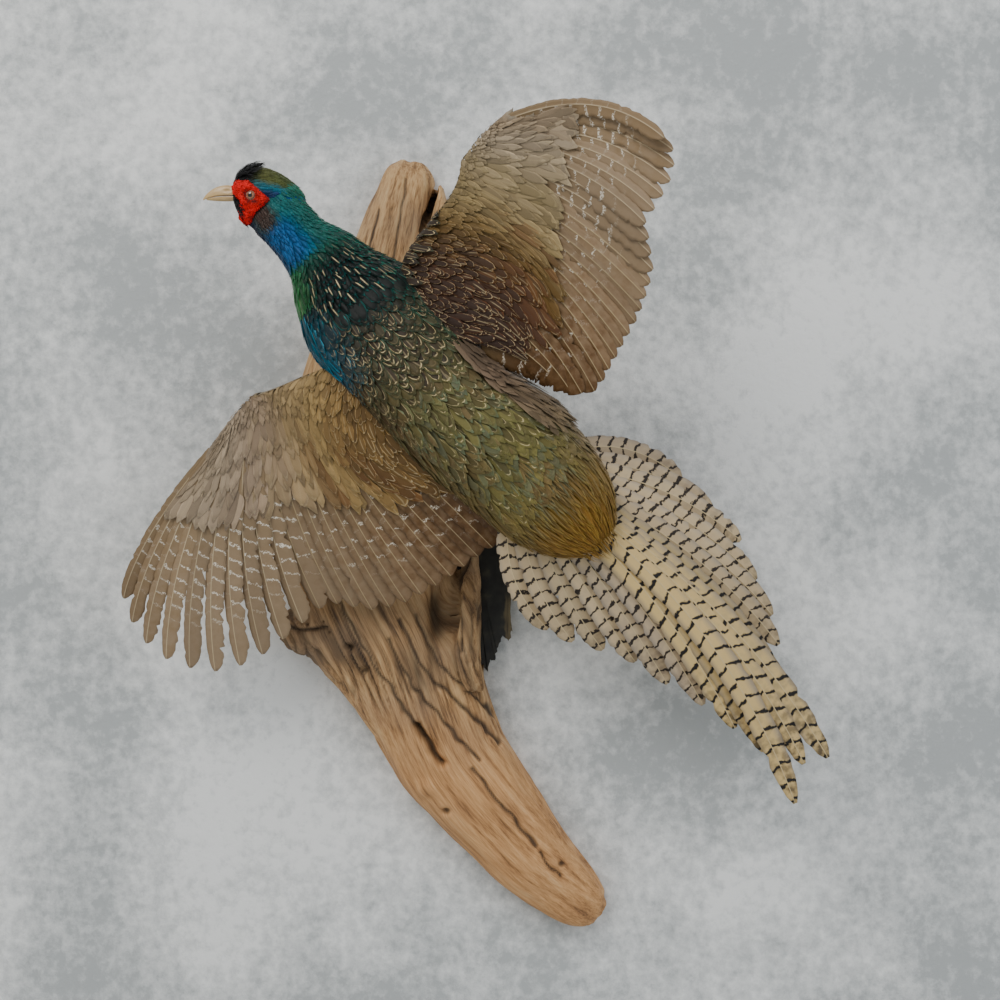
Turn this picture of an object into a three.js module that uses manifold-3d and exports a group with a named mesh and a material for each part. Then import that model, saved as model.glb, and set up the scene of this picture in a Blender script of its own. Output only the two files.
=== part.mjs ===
// A cock pheasant of the dark, ringless kind, mounted in flight on a driftwood wall hanger.
//
// Millimetres, +Z up. The wall is the plane y = 0 and everything stands out from it towards -Y.
// The origin lies on the flat back of the driftwood, where it meets the wall.
// The bird's back faces away from the wall, its bill points to -X and its tail to +X and down.

import * as THREE from 'three';
import { mergeVertices } from 'three/addons/utils/BufferGeometryUtils.js';
import Module from 'manifold-3d';

const wasm = await Module();
wasm.setup();

const GAP = 0.3;               // left between neighbouring pieces
const BODY_SIDES = 18;         // facets round the neck and trunk
const FEATHER_THICK = 1.2;     // flight feather at its shaft
const FEATHER_EDGE = 0.8;      // flight feather at the edge of its vane
const NEAR_ROOT = 0.3;         // where along two feathers their order in the row is judged
const FAN_PARTING = 1.1;       // drawn back at each side where one fan of feathers ends and the next begins

// ---------------------------------------------------------------- driving sizes

// Neck and trunk, from behind the head to the end of the tail coverts:
// centre, half width across the back, half depth from back to belly.
const BODY = [
  { at: [-93, -163, 203], wide: 28, deep: 21 },
  { at: [-79, -162, 189], wide: 28, deep: 23 },
  { at: [-66, -160, 175], wide: 29, deep: 26 },
  { at: [-49, -157, 158], wide: 38, deep: 33 },
  { at: [-33, -154, 136], wide: 50, deep: 43 },
  { at: [-13, -152, 112], wide: 61, deep: 53 },
  { at: [17, -150, 79], wide: 60, deep: 59 },
  { at: [51, -150, 44], wide: 59, deep: 60 },
  { at: [86, -151, 9], wide: 59, deep: 57 },
  { at: [125, -153, -21], wide: 61, deep: 49 },
  { at: [158, -155, -53], wide: 57, deep: 36 },
  { at: [184, -156, -79], wide: 46, deep: 22 },
  { at: [203, -156, -99], wide: 24, deep: 10 },
];
// Named lengths of the body, as stations along BODY.
const BODY_PARTS = [
  { name: 'neck_upper', from: 0, to: 2.5 },
  { name: 'neck_lower', from: 2.5, to: 4 },
  { name: 'breast', from: 4, to: 5.6 },
  { name: 'trunk', from: 5.6, to: 8.4 },
  { name: 'rump', from: 8.4, to: 10.2 },
  { name: 'tail_coverts', from: 10.2, to: 12 },
];
const RINGS_PER_STATION = 1.6;

// Head, in its own frame: x to the bill, y to the bird's left, z to the crown.
const HEAD_AT = [-105, -163, 217];
const HEAD_SIDES = 18;
const HEAD_ROLL = THREE.MathUtils.degToRad(8);
const HEAD = [
  { x: 26.7, top: 12, bottom: -3, half: 6.4 },
  { x: 22, top: 20.5, bottom: -14, half: 10.2 },
  { x: 12, top: 26.8, bottom: -28, half: 14.4 },
  { x: 0, top: 28.2, bottom: -31, half: 16.6 },
  { x: -14.7, top: 23.4, bottom: -29, half: 16.4 },
  { x: -28, top: 14.5, bottom: -23, half: 13.2 },
  { x: -38.5, top: 4, bottom: -12, half: 6 },
];
const BILL_UPPER = [
  { x: 27, top: 10.3, bottom: 0.7, half: 6.2 },
  { x: 33, top: 11.6, bottom: 0.8, half: 5.6 },
  { x: 40, top: 11.9, bottom: 0.4, half: 4.6 },
  { x: 46, top: 9.2, bottom: -0.4, half: 3.4 },
  { x: 51, top: 4.6, bottom: -1.4, half: 2.2 },
  { x: 54.3, top: -0.9, bottom: -2.6, half: 0.8 },
];
const BILL_LOWER = [
  { x: 27, top: 0.3, bottom: -4.6, half: 5.4 },
  { x: 34, top: 0.4, bottom: -5.4, half: 4.8 },
  { x: 41, top: -0.1, bottom: -5.6, half: 3.8 },
  { x: 47, top: -0.9, bottom: -4.8, half: 2.6 },
  { x: 51, top: -1.9, bottom: -3.2, half: 1.2 },
];
const EYE = { x: 7.8, z: 0.6, radius: 5.4, sunk: 3.1 };
const WATTLE_THICK = 1.6;
const WATTLE = [           // outline of the bare red face, x and z in the head's frame
  [27, 9], [22.5, 14.4], [10, 13.8], [-10, -3.7], [3.7, -14.7], [9.8, -24.8], [15.6, -26.2],
  [21.5, -20.5], [22, -12.9], [18.6, -4.4], [25.5, 2.5],
];

// Wings. Every line runs from the body outwards.
//   leading: front edge; inner, hand: where the feather roots lie; then the two lines of tips.
const INNER_FEATHERS = 14;     // tertials and secondaries
const PRIMARIES = 10;
const WINGS = {
  left: {
    leading: [[40, -165, 76], [-10, -165, 74], [-48, -158, 60], [-79, -155, 48], [-123, -146, 25]],
    leadingHand: [[-125, -145, 23], [-146, -140, 4], [-166, -133, -20]],
    inner: [[21, -150, 8], [-30, -146, -6], [-73, -143, 15], [-109, -140, 27]],
    hand: [[-113, -139, 24], [-134, -136, 6], [-157, -132, -15]],
    innerTips: [[135, -130, -90], [94, -112, -115], [62, -97, -138], [27, -88, -159],
      [4, -82, -167], [-18, -80, -169], [-41, -80, -163], [-62, -80, -168]],
    handTips: [[-79, -80, -182], [-117, -82, -212], [-145, -84, -225], [-175, -86, -228],
      [-214, -89, -214], [-238, -92, -188], [-250, -95, -157]],
    bow: { inner: [4, -11, 0], middle: [-8, -11, 0], outer: [-13, -9, -7] },
    normal: [-0.12, -0.96, -0.24],
    thick: { shoulder: 15, wrist: 7, tip: 3.5 },
  },
  right: {
    leading: [[21, -172, 107], [27, -176, 157], [52, -188, 190], [74, -202, 216], [87, -213, 237]],
    leadingHand: [[88, -214, 239], [106, -225, 263], [127, -238, 281]],
    inner: [[75, -177, 88], [116, -194, 150], [103, -205, 197], [93, -213, 230]],
    hand: [[95, -215, 235], [105, -225, 252], [118, -236, 268]],
    innerTips: [[156, -178, 52], [181, -184, 37], [199, -190, 36], [213, -202, 58], [224, -213, 78],
      [234, -222, 96], [240, -231, 112], [244, -239, 126]],
    handTips: [[246, -246, 137], [241, -258, 162], [238, -264, 174], [247, -270, 188],
      [258, -283, 209], [258, -296, 226], [249, -305, 236]],
    bow: { inner: [4, -8, 2], middle: [3, -6, 9], outer: [7, 2, 21] },
    normal: [-0.38, -0.9, -0.2],
    thick: { shoulder: 14, wrist: 7, tip: 3.5 },
  },
};
const COVERED = { shoulder: 0.46, wrist: 0.42, tip: 0.34 };   // share of a feather under the coverts
const VANE = { inner: 17, primaryInner: 14, primaryOuter: 9 };  // half widths of the flight feathers
const INNER_ROWS = [0, 0.4, 0.76, 0.93, 1];
const PRIMARY_ROWS = [0, 0.34, 0.66, 0.88, 1];

// Tail: nine pairs of feathers from one root. Length, bearing in degrees below +X, sideways bow.
const TAIL_ROOT = [142, -152, -39];
const TAIL_ROOT_SPAN = 24;
const TAIL_COVERED = 0.12;
const TAIL = [
  { name: 'tail_left', feathers: [
    { length: 148, bearing: 83, bow: -24, half: 13 },
    { length: 164, bearing: 75.2, bow: -16, half: 13 },
    { length: 181, bearing: 67.1, bow: -9, half: 14 },
    { length: 205, bearing: 60.3, bow: -3, half: 15 },
    { length: 239, bearing: 56.4, bow: 4, half: 16 },
    { length: 275, bearing: 52.8, bow: 11, half: 16 },
  ] },
  { name: 'tail_centre', feathers: [
    { length: 311, bearing: 50.8, bow: 17, half: 16 },
    { length: 347, bearing: 49.6, bow: 23, half: 16 },
    { length: 405, bearing: 50.9, bow: 33, half: 16 },
    { length: 382, bearing: 46.3, bow: 29, half: 16 },
    { length: 394, bearing: 43.3, bow: 27, half: 16 },
    { length: 320, bearing: 40.1, bow: 24, half: 16 },
  ] },
  { name: 'tail_right', feathers: [
    { length: 288, bearing: 34.1, bow: 22, half: 16 },
    { length: 268, bearing: 29.8, bow: 22, half: 16 },
    { length: 239, bearing: 24.5, bow: 21, half: 15 },
    { length: 212, bearing: 17, bow: 20, half: 14 },
    { length: 180, bearing: 11, bow: 21, half: 13 },
    { length: 146, bearing: 1, bow: 24, half: 13 },
  ] },
];
const TAIL_TIP_Y = { outer: -110, centre: -114, longest: -105 };
const TAIL_ROWS = [0, 0.26, 0.52, 0.74, 0.91, 1];

// Legs, drawn back under the belly and the tail.
const LEG_AXIS = [0.7, 0.02, -0.71];
const LEG_SIDE = [0.71, 0, 0.7];
const HOCK_AT = [152, -98, -62];
const HOCK_APART = 20;
const THIGH = { length: 88, rise: -26, top: 25, bottom: 7.5 };
const SHANK = { length: 62, radius: 4.2 };
const TOES = [
  { length: 37, angle: -15, claw: 9 },
  { length: 50, angle: 0, claw: 10 },
  { length: 39, angle: 15, claw: 9 },
  { length: 15, angle: 168, claw: 8 },
];
const TOE_RADIUS = 3.1;
const TOE_SIDES = 6;
const SPUR = { length: 13, radius: 2.6, at: 0.62 };

// Driftwood: centre line on the wall as x and z, half width, stand-off from the wall.
const WOOD = [
  { at: [24, 281], half: 13, front: 26 },
  { at: [21, 268], half: 25, front: 38 },
  { at: [13, 237], half: 31, front: 44 },
  { at: [-1, 179], half: 39, front: 52 },
  { at: [-14, 115], half: 50, front: 60 },
  { at: [-26, 54], half: 62, front: 64 },
  { at: [-32, -1], half: 69, front: 64 },
  { at: [-32, -62], half: 72, front: 62 },
  { at: [-26, -118], half: 77, front: 60 },
  { at: [-8, -170], half: 87, front: 60 },
  { at: [15, -214], half: 79, front: 60 },
  { at: [37, -266], half: 65, front: 57 },
  { at: [62, -318], half: 58, front: 54 },
  { at: [84, -349], half: 53, front: 52 },
  { at: [106, -378], half: 49, front: 50 },
  { at: [149, -429], half: 41, front: 44 },
  { at: [185, -464], half: 30, front: 35 },
  { at: [203, -479], half: 21, front: 27 },
  { at: [212, -485], half: 11, front: 18 },
];
const WOOD_SIDES = 11;
const WOOD_SIDES_SMALL = 7;
const RIDGE = [
  { at: [85, -112], half: 7, front: 52 },
  { at: [82, -150], half: 12, front: 64 },
  { at: [80, -200], half: 15, front: 68 },
  { at: [86, -252], half: 12, front: 58 },
];
const PRONG = [
  { at: [51, 257], half: 4, front: 30 },
  { at: [53, 232], half: 7, front: 36 },
  { at: [44, 190], half: 12, front: 42 },
  { at: [30, 150], half: 14, front: 46 },
];
const STUB = [
  { at: [-106, -190], half: 16, front: 34 },
  { at: [-84, -196], half: 24, front: 46 },
  { at: [-40, -190], half: 34, front: 54 },
];
// Backing board: its outline as x and z, broken off along the bottom.
const BOARD_THICK = 18;
const BOARD = [
  [44, 30], [113, 30], [127, -110], [123, -206], [111, -214], [101, -238], [92, -230], [44, -206],
];
const RODS = [
  { name: 'mounting_rod_upper', x: 8, z: 78 },
  { name: 'mounting_rod_lower', x: 30, z: 34 },
];
const ROD = { radius: 4, from: -40, to: -125 };

// ---------------------------------------------------------------- finishes

function finish(colour, roughness, metalness = 0) {
  return new THREE.MeshStandardMaterial({ color: colour, roughness, metalness });
}
const FINISH = {
  crown: finish(0x35401c, 0.6),
  neckBlue: finish(0x16455c, 0.4),
  neckGreen: finish(0x123d33, 0.4),
  mantle: finish(0x2d3a22, 0.6),
  rump: finish(0x5a5f2c, 0.7),
  rust: finish(0x85682b, 0.8),
  wing: finish(0x66583c, 0.75),
  flight: finish(0x857565, 0.75),
  tail: finish(0xa8936c, 0.75),
  face: finish(0xb3151a, 0.7),
  eye: finish(0x1a0d06, 0.05),
  bill: finish(0xc9b184, 0.45),
  leg: finish(0x8b8474, 0.6),
  wood: finish(0x9a6f4b, 0.85),
  board: finish(0x15130f, 0.9),
  steel: finish(0x3a3a3c, 0.45, 1),
};

// ---------------------------------------------------------------- geometry helpers

const vec = (xyz) => new THREE.Vector3(...xyz);
const AWAY_FROM_WALL = new THREE.Vector3(0, -1, 0);

function curve(points) {
  return new THREE.CatmullRomCurve3(points.map(vec), false, 'centripetal');
}

// Sum of base and any number of (direction, amount) pairs.
function offset(base, ...moves) {
  const point = base.clone();
  for (let i = 0; i < moves.length; i += 2) point.addScaledVector(moves[i], moves[i + 1]);
  return point;
}

function signedVolume(points, faces) {
  let sum = 0;
  for (const [a, b, c] of faces) {
    sum += points[a].dot(new THREE.Vector3().crossVectors(points[b], points[c]));
  }
  return sum / 6;
}

// Closed body from shared points and triangles, turned so that its faces point outwards.
function closedBody(points, faces) {
  const outward = signedVolume(points, faces) > 0;
  const geometry = new THREE.BufferGeometry().setFromPoints(points);
  geometry.setIndex(faces.flatMap(([a, b, c]) => (outward ? [a, b, c] : [a, c, b])));
  return mergeVertices(geometry, 1e-4);
}

// Skin over a row of rings with as many points each. capFan closes round ends from their
// middle; otherwise the ends are thin, and points that face each other are joined.
function loft(rings, capFan = true) {
  const count = rings[0].length;
  const points = rings.flat();
  const faces = [];
  for (let r = 0; r + 1 < rings.length; r++) {
    for (let k = 0; k < count; k++) {
      const a = r * count + k;
      const b = r * count + ((k + 1) % count);
      faces.push([a, b, b + count], [a, b + count, a + count]);
    }
  }
  for (const end of [0, rings.length - 1]) {
    const at = (k) => end * count + (k % count);
    const facing = (a, b, c) => faces.push(end === 0 ? [a, c, b] : [a, b, c]);
    if (capFan) {
      const middle = points.length;
      points.push(rings[end].reduce((sum, p) => sum.add(p), new THREE.Vector3()).divideScalar(count));
      for (let k = 0; k < count; k++) facing(middle, at(k), at(k + 1));
    } else {
      for (let k = 0; 2 * k + 2 < count; k++) {
        facing(at(k), at(k + 1), at(count - 1 - k));
        if (2 * k + 3 < count) facing(at(k + 1), at(count - 2 - k), at(count - 1 - k));
      }
    }
  }
  return closedBody(points, faces);
}

function toSolid(geometry) {
  const bare = mergeVertices(geometry.index ? geometry : mergeVertices(geometry), 1e-4);
  return new wasm.Manifold(new wasm.Mesh({
    numProp: 3,
    vertProperties: new Float32Array(bare.attributes.position.array),
    triVerts: new Uint32Array(bare.index.array),
  }));
}

// Largest body of a solid, as geometry.
function toGeometry(solid) {
  const bodies = solid.decompose();
  const largest = bodies.reduce((a, b) => (b.volume() > a.volume() ? b : a));
  const mesh = largest.getMesh();
  const geometry = new THREE.BufferGeometry();
  geometry.setAttribute('position', new THREE.BufferAttribute(new Float32Array(mesh.vertProperties), 3));
  geometry.setIndex([...mesh.triVerts]);
  return geometry;
}

function ellipseRing(centre, across, up, wide, high, low, sides) {
  const ring = [];
  for (let k = 0; k < sides; k++) {
    const angle = (2 * Math.PI * k) / sides;
    const rise = Math.sin(angle);
    ring.push(offset(centre, across, wide * Math.cos(angle), up, rise * (rise > 0 ? high : low)));
  }
  return ring;
}

// Tube of round rings along points, with a radius for each.
function taperedTube(points, radii, sides) {
  const rings = points.map((point, i) => {
    const next = points[Math.min(i + 1, points.length - 1)];
    const along = next.clone().sub(points[Math.max(i - 1, 0)]).normalize();
    const across = new THREE.Vector3().crossVectors(along, AWAY_FROM_WALL).normalize();
    const up = new THREE.Vector3().crossVectors(across, along).normalize();
    return ellipseRing(point, across, up, radii[i], radii[i], radii[i], sides);
  });
  return loft(rings);
}

const model = new THREE.Group();

function add(group, name, geometry, material) {
  const mesh = new THREE.Mesh(geometry, material);
  mesh.name = name;
  group.add(mesh);
  return mesh;
}

// ---------------------------------------------------------------- neck and trunk

const bodyCentres = curve(BODY.map((station) => station.at));
const bodySizes = curve(BODY.map((station) => [station.wide, station.deep, 0]));

function bodyRing(station, grown) {
  const t = station / (BODY.length - 1);
  const size = bodySizes.getPoint(t);
  const along = bodyCentres.getTangent(t);
  const across = new THREE.Vector3().crossVectors(along, AWAY_FROM_WALL).normalize();
  const up = new THREE.Vector3().crossVectors(across, along).normalize();
  const [wide, deep] = [size.x + grown, size.y + grown];
  return ellipseRing(bodyCentres.getPoint(t), across, up, wide, deep, deep, BODY_SIDES);
}

function bodyLength(from, to, grown = 0) {
  const count = Math.max(2, Math.ceil((to - from) * RINGS_PER_STATION));
  const rings = [];
  for (let i = 0; i <= count; i++) {
    rings.push(bodyRing(THREE.MathUtils.lerp(from, to, i / count), grown));
  }
  return loft(rings);
}

// ---------------------------------------------------------------- head

const head = new THREE.Group();
head.position.set(...HEAD_AT);
head.rotation.set(-HEAD_ROLL, 0, Math.PI, 'ZYX');
head.updateMatrix();

const LEFT = new THREE.Vector3(0, 1, 0);
const CROWN = new THREE.Vector3(0, 0, 1);

// Closed form over stations of x, top, bottom and half width; level is the share of the height
// at which it is widest.
function facialForm(stations, level, sides, grown = 0) {
  const rings = stations.map(({ x, top, bottom, half }, i) => {
    const z = THREE.MathUtils.lerp(bottom, top, level);
    const reach = i === 0 ? grown : i === stations.length - 1 ? -grown : 0;
    const centre = new THREE.Vector3(x + reach, 0, z);
    return ellipseRing(centre, LEFT, CROWN, half + grown, top - z + grown, z - bottom + grown, sides);
  });
  return loft(rings);
}

function headForm(grown = 0) {
  return facialForm(HEAD, 0.52, HEAD_SIDES, grown);
}

function eyeball(side, grown = 0) {
  const ball = new THREE.SphereGeometry(EYE.radius + grown, 12, 8);
  ball.deleteAttribute('normal');
  ball.deleteAttribute('uv');
  const half = cheekAt(EYE.x);
  return mergeVertices(ball.translate(EYE.x, side * (half - EYE.sunk), EYE.z), 1e-4);
}

// Half width of the head at x.
function cheekAt(x) {
  const i = HEAD.findIndex((station) => station.x < x);
  const [a, b] = [HEAD[i - 1], HEAD[i]];
  return THREE.MathUtils.mapLinear(x, a.x, b.x, a.half, b.half);
}

// Bare red skin of one side of the face, hugging the head.
function wattle(side) {
  const outline = new THREE.Shape(WATTLE.map(([x, z]) => new THREE.Vector2(x, z)));
  const prism = new THREE.ExtrudeGeometry(outline, { depth: 24, bevelEnabled: false, curveSegments: 1 });
  prism.deleteAttribute('normal');
  prism.deleteAttribute('uv');
  prism.rotateX(Math.PI / 2);
  prism.translate(0, side > 0 ? 26 : -2, 0);
  return toSolid(mergeVertices(prism, 1e-4))
    .intersect(toSolid(headForm(WATTLE_THICK + GAP)))
    .subtract(toSolid(headForm(GAP)))
    .subtract(toSolid(eyeball(side, GAP)));
}

let skull = toSolid(headForm());
for (const [side, label] of [[1, 'left'], [-1, 'right']]) {
  skull = skull.subtract(toSolid(eyeball(side, GAP)));
  add(head, `eye_${label}`, eyeball(side), FINISH.eye);
  add(head, `wattle_${label}`, toGeometry(wattle(side)), FINISH.face);
}
add(head, 'head', toGeometry(skull), FINISH.crown);
add(head, 'bill_upper', facialForm(BILL_UPPER, 0.12, 12), FINISH.bill);
add(head, 'bill_lower', facialForm(BILL_LOWER, 0.88, 12), FINISH.bill);
model.add(head);

// ---------------------------------------------------------------- feathers in fans

// One feather: a centre line from root to tip, bowed by an offset at its middle.
function feather(root, tip, bow, half) {
  const control = root.clone().lerp(tip, 0.5).addScaledVector(bow, 2);
  return { line: new THREE.QuadraticBezierCurve3(root, control, tip), half };
}

// Half width of a vane at t: full to where the tip begins to round off.
function vaneHalf(half, t, roundFrom) {
  const tip = Math.max(0, (t - roundFrom) / (1 - roundFrom));
  return half * Math.sqrt(1 - 0.93 * tip * tip);
}

function nearestOn(line, point) {
  return line.getPoints(24).reduce((a, b) => (b.distanceTo(point) < a.distanceTo(point) ? b : a));
}

const quad = (a, b, c, d) => [[a, b, c], [a, c, d]];
const turned = (faces) => faces.map(([a, b, c]) => [a, c, b]);

// One body of neighbouring feathers. Vanes that overlap share their edge, and come apart
// towards the tips, where each keeps to its own side of the line between the two. feathers is the whole row; the body takes first to last of it.
function featherFan(feathers, first, last, { starts, rows, roundFrom, normal }) {
  const points = [];
  const faces = [];
  const up = vec(normal).normalize();
  const at = (i, t) => feathers[i].line.getPoint(t);
  const timeOf = (i, row) => THREE.MathUtils.lerp(starts[i], 1, row);

  // Across feather i at t, towards the end of the row. Neighbours are compared near their roots,
  // where none lags behind the others.
  function outwards(i, t) {
    const acrossAt = (time) => new THREE.Vector3().crossVectors(up, feathers[i].line.getTangent(time));
    const before = at(Math.max(i - 1, 0), NEAR_ROOT);
    const after = at(Math.min(i + 1, feathers.length - 1), NEAR_ROOT);
    return acrossAt(t).normalize().multiplyScalar(Math.sign(after.sub(before).dot(acrossAt(NEAR_ROOT))));
  }

  // Edge of feather i on its side -1 (towards the row's start) or +1, in row j.
  function edge(i, side, j) {
    const t = timeOf(i, rows[j]);
    const centre = at(i, t);
    const half = vaneHalf(feathers[i].half, t, roundFrom);
    const n = i + side;
    const inside = n >= 0 && n < feathers.length;
    const across = outwards(i, t).multiplyScalar(side);
    if (!inside) return { point: offset(centre, across, half), joined: false };

    const otherTime = timeOf(n, rows[j]);
    const towards = at(n, otherTime).sub(centre);
    if (towards.length() < half + vaneHalf(feathers[n].half, otherTime, roundFrom)) {
      const shared = centre.clone().addScaledVector(towards, 0.5);
      const outside = n < first || n > last;
      if (outside) shared.addScaledVector(towards.normalize(), -FAN_PARTING);
      return { point: shared, joined: !outside };
    }
    const nearest = nearestOn(feathers[n].line, centre).distanceTo(centre);
    const clear = Math.max(FEATHER_EDGE, nearest / 2 - FAN_PARTING);
    return { point: offset(centre, across, Math.min(half, clear)), joined: false };
  }

  function lay(point, height) {
    points.push(offset(point, up, height));
    return points.length - 1;
  }

  for (let i = first; i <= last; i++) {
    let before = null;
    for (let j = 0; j < rows.length; j++) {
      const [left, right] = [edge(i, -1, j), edge(i, 1, j)];
      const here = {
        left, right,
        topLeft: lay(left.point, FEATHER_EDGE / 2),
        top: lay(at(i, timeOf(i, rows[j])), FEATHER_THICK - FEATHER_EDGE / 2),
        topRight: lay(right.point, FEATHER_EDGE / 2),
        lowLeft: lay(left.point, -FEATHER_EDGE / 2),
        low: lay(at(i, timeOf(i, rows[j])), -FEATHER_EDGE / 2),
        lowRight: lay(right.point, -FEATHER_EDGE / 2),
      };
      const cap = [...quad(here.topLeft, here.top, here.low, here.lowLeft),
        ...quad(here.top, here.topRight, here.lowRight, here.low)];
      if (j === 0) faces.push(...cap);
      if (j === rows.length - 1) faces.push(...turned(cap));
      if (before) {
        // Above and below are cut along the same diagonals, so that the two never cross.
        faces.push(
          ...quad(before.topLeft, here.topLeft, here.top, before.top),
          ...quad(before.top, here.top, here.topRight, before.topRight),
          ...turned(quad(before.lowLeft, here.lowLeft, here.low, before.low)),
          ...turned(quad(before.low, here.low, here.lowRight, before.lowRight)),
        );
        if (!(before.left.joined && here.left.joined)) {
          faces.push(...quad(before.lowLeft, here.lowLeft, here.topLeft, before.topLeft));
        }
        if (!(before.right.joined && here.right.joined)) {
          faces.push(...quad(before.topRight, here.topRight, here.lowRight, before.lowRight));
        }
      }
      before = here;
    }
  }
  return closedBody(points, faces);
}

// ---------------------------------------------------------------- wings

function mix3(inner, middle, outer, t) {
  return t < 0.5 ? inner.clone().lerp(middle, 2 * t) : middle.clone().lerp(outer, 2 * t - 1);
}

// The whole row of flight feathers of a wing, innermost first, with the point of the leading
// edge in front of each and the share of each that the coverts hide.
function wingLayout(wing) {
  const lines = Object.fromEntries(
    ['leading', 'leadingHand', 'inner', 'hand', 'innerTips', 'handTips']
      .map((key) => [key, curve(wing[key])]),
  );
  const bow = { inner: vec(wing.bow.inner), middle: vec(wing.bow.middle), outer: vec(wing.bow.outer) };
  const layout = { feathers: [], fronts: [], starts: [], thick: [] };
  const total = INNER_FEATHERS + PRIMARIES;
  for (let i = 0; i < total; i++) {
    const onHand = i >= INNER_FEATHERS;
    const s = onHand ? (i - INNER_FEATHERS) / (PRIMARIES - 1) : i / (INNER_FEATHERS - 1);
    const root = (onHand ? lines.hand : lines.inner).getPoint(s);
    const tip = (onHand ? lines.handTips : lines.innerTips).getPointAt(s);
    const front = (onHand ? lines.leadingHand : lines.leading).getPoint(s);
    const bend = mix3(bow.inner, bow.middle, bow.outer, i / (total - 1));
    const half = onHand ? THREE.MathUtils.lerp(VANE.primaryInner, VANE.primaryOuter, s) : VANE.inner;
    const { shoulder, wrist, tip: end } = COVERED;
    layout.feathers.push(feather(root, tip, bend, half));
    layout.fronts.push(front);
    layout.starts.push(onHand ? THREE.MathUtils.lerp(wrist, end, s) : THREE.MathUtils.lerp(shoulder, wrist, s));
    layout.thick.push(onHand
      ? THREE.MathUtils.lerp(wing.thick.wrist, wing.thick.tip, s)
      : THREE.MathUtils.lerp(wing.thick.shoulder, wing.thick.wrist, s));
  }
  return layout;
}

// Section of the muscled, covert-clad front of the wing at feather i: a thin aerofoil from the
// leading edge over the bones to the edge of the coverts.
const FOIL = [[0.07, 0.62], [0.24, 1], [0.5, 0.8], [0.78, 0.3]];

function foilRing(layout, i, normal, grown) {
  const { line } = layout.feathers[i];
  const root = line.getPoint(0);
  const edge = line.getPoint(layout.starts[i]);
  const front = layout.fronts[i];
  const control = root.clone().multiplyScalar(2).addScaledVector(front, -0.5).addScaledVector(edge, -0.5);
  const camber = new THREE.QuadraticBezierCurve3(front, control, edge);
  const side = (sign) => [
    ...FOIL.map(([x, share]) => (
      offset(camber.getPoint(x), normal, sign * (layout.thick[i] * share + grown)))),
    offset(edge, normal, sign * (FEATHER_EDGE / 2 + grown)),
  ];
  return [front, ...side(1), ...side(-1).reverse()];
}

// Ring halfway between two neighbours, drawn back by half the gap.
function partingRing(near, far) {
  return near.map((point, k) => {
    const middle = point.clone().lerp(far[k], 0.5);
    const back = point.clone().sub(far[k]).normalize();
    return middle.addScaledVector(back, GAP / 2);
  });
}

function wingFront(layout, normal, first, last, grown = 0) {
  const ring = (i) => foilRing(layout, i, normal, grown);
  const rings = [];
  for (let i = first; i <= last; i++) rings.push(ring(i));
  if (first > 0) rings.unshift(partingRing(ring(first), ring(first - 1)));
  if (last + 1 < layout.feathers.length) rings.push(partingRing(ring(last), ring(last + 1)));
  return loft(rings, false);
}

const bodyGrown = BODY_PARTS.reduce(
  (sum, { from, to }) => {
    const length = toSolid(bodyLength(from, to, GAP));
    return sum ? sum.add(length) : length;
  },
  null,
);

for (const [label, wing] of Object.entries(WINGS)) {
  const layout = wingLayout(wing);
  const normal = vec(wing.normal).normalize();
  const reach = layout.feathers.map(({ line }, i) => layout.starts[i] + GAP / line.getLength());
  const options = { starts: reach, roundFrom: 0.8, normal: wing.normal };
  const last = INNER_FEATHERS + PRIMARIES - 1;
  const sections = [[0, INNER_FEATHERS - 1], [INNER_FEATHERS, last]];
  const rows = [INNER_ROWS, PRIMARY_ROWS];
  const covertClad = sections.map(([from, to]) => toSolid(wingFront(layout, normal, from, to, GAP)));
  const fans = sections.map(([from, to], i) => covertClad.reduce(
    (fan, clad) => fan.subtract(clad),
    toSolid(featherFan(layout.feathers, from, to, { ...options, rows: rows[i] })).subtract(bodyGrown),
  ));
  const arm = toSolid(wingFront(layout, normal, ...sections[0])).subtract(bodyGrown);
  add(model, `wing_${label}_arm`, toGeometry(arm), FINISH.wing);
  add(model, `wing_${label}_hand`, wingFront(layout, normal, ...sections[1]), FINISH.wing);
  add(model, `wing_${label}_secondaries`, toGeometry(fans[0]), FINISH.flight);
  add(model, `wing_${label}_primaries`, toGeometry(fans[1]), FINISH.flight);
}

// ---------------------------------------------------------------- tail

const tailFeathers = TAIL.flatMap((group) => group.feathers);
const tailRow = tailFeathers.map(({ length, bearing, bow, half }, i) => {
  const angle = THREE.MathUtils.degToRad(bearing);
  const along = new THREE.Vector3(Math.cos(angle), 0, -Math.sin(angle));
  const aside = new THREE.Vector3(Math.sin(angle), 0, Math.cos(angle));
  const place = i / (tailFeathers.length - 1) - 0.5;
  const spread = vec(LEG_SIDE).multiplyScalar(TAIL_ROOT_SPAN * place);
  const root = vec(TAIL_ROOT).add(spread);
  const outer = Math.min(1, Math.abs(place) * 2.4);
  const tip = offset(vec(TAIL_ROOT), along, length);
  tip.y = THREE.MathUtils.lerp(length > 330 ? TAIL_TIP_Y.longest : TAIL_TIP_Y.centre, TAIL_TIP_Y.outer, outer);
  return feather(root, tip, aside.multiplyScalar(bow).addScaledVector(AWAY_FROM_WALL, 8), half);
});
let firstOfGroup = 0;
for (const { name, feathers } of TAIL) {
  const lastOfGroup = firstOfGroup + feathers.length - 1;
  const fan = featherFan(tailRow, firstOfGroup, lastOfGroup, {
    starts: tailRow.map(() => TAIL_COVERED), rows: TAIL_ROWS, roundFrom: 0.7, normal: [0, -1, 0],
  });
  add(model, name, toGeometry(toSolid(fan).subtract(bodyGrown)), FINISH.tail);
  firstOfGroup = lastOfGroup + 1;
}

// ---------------------------------------------------------------- legs

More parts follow.
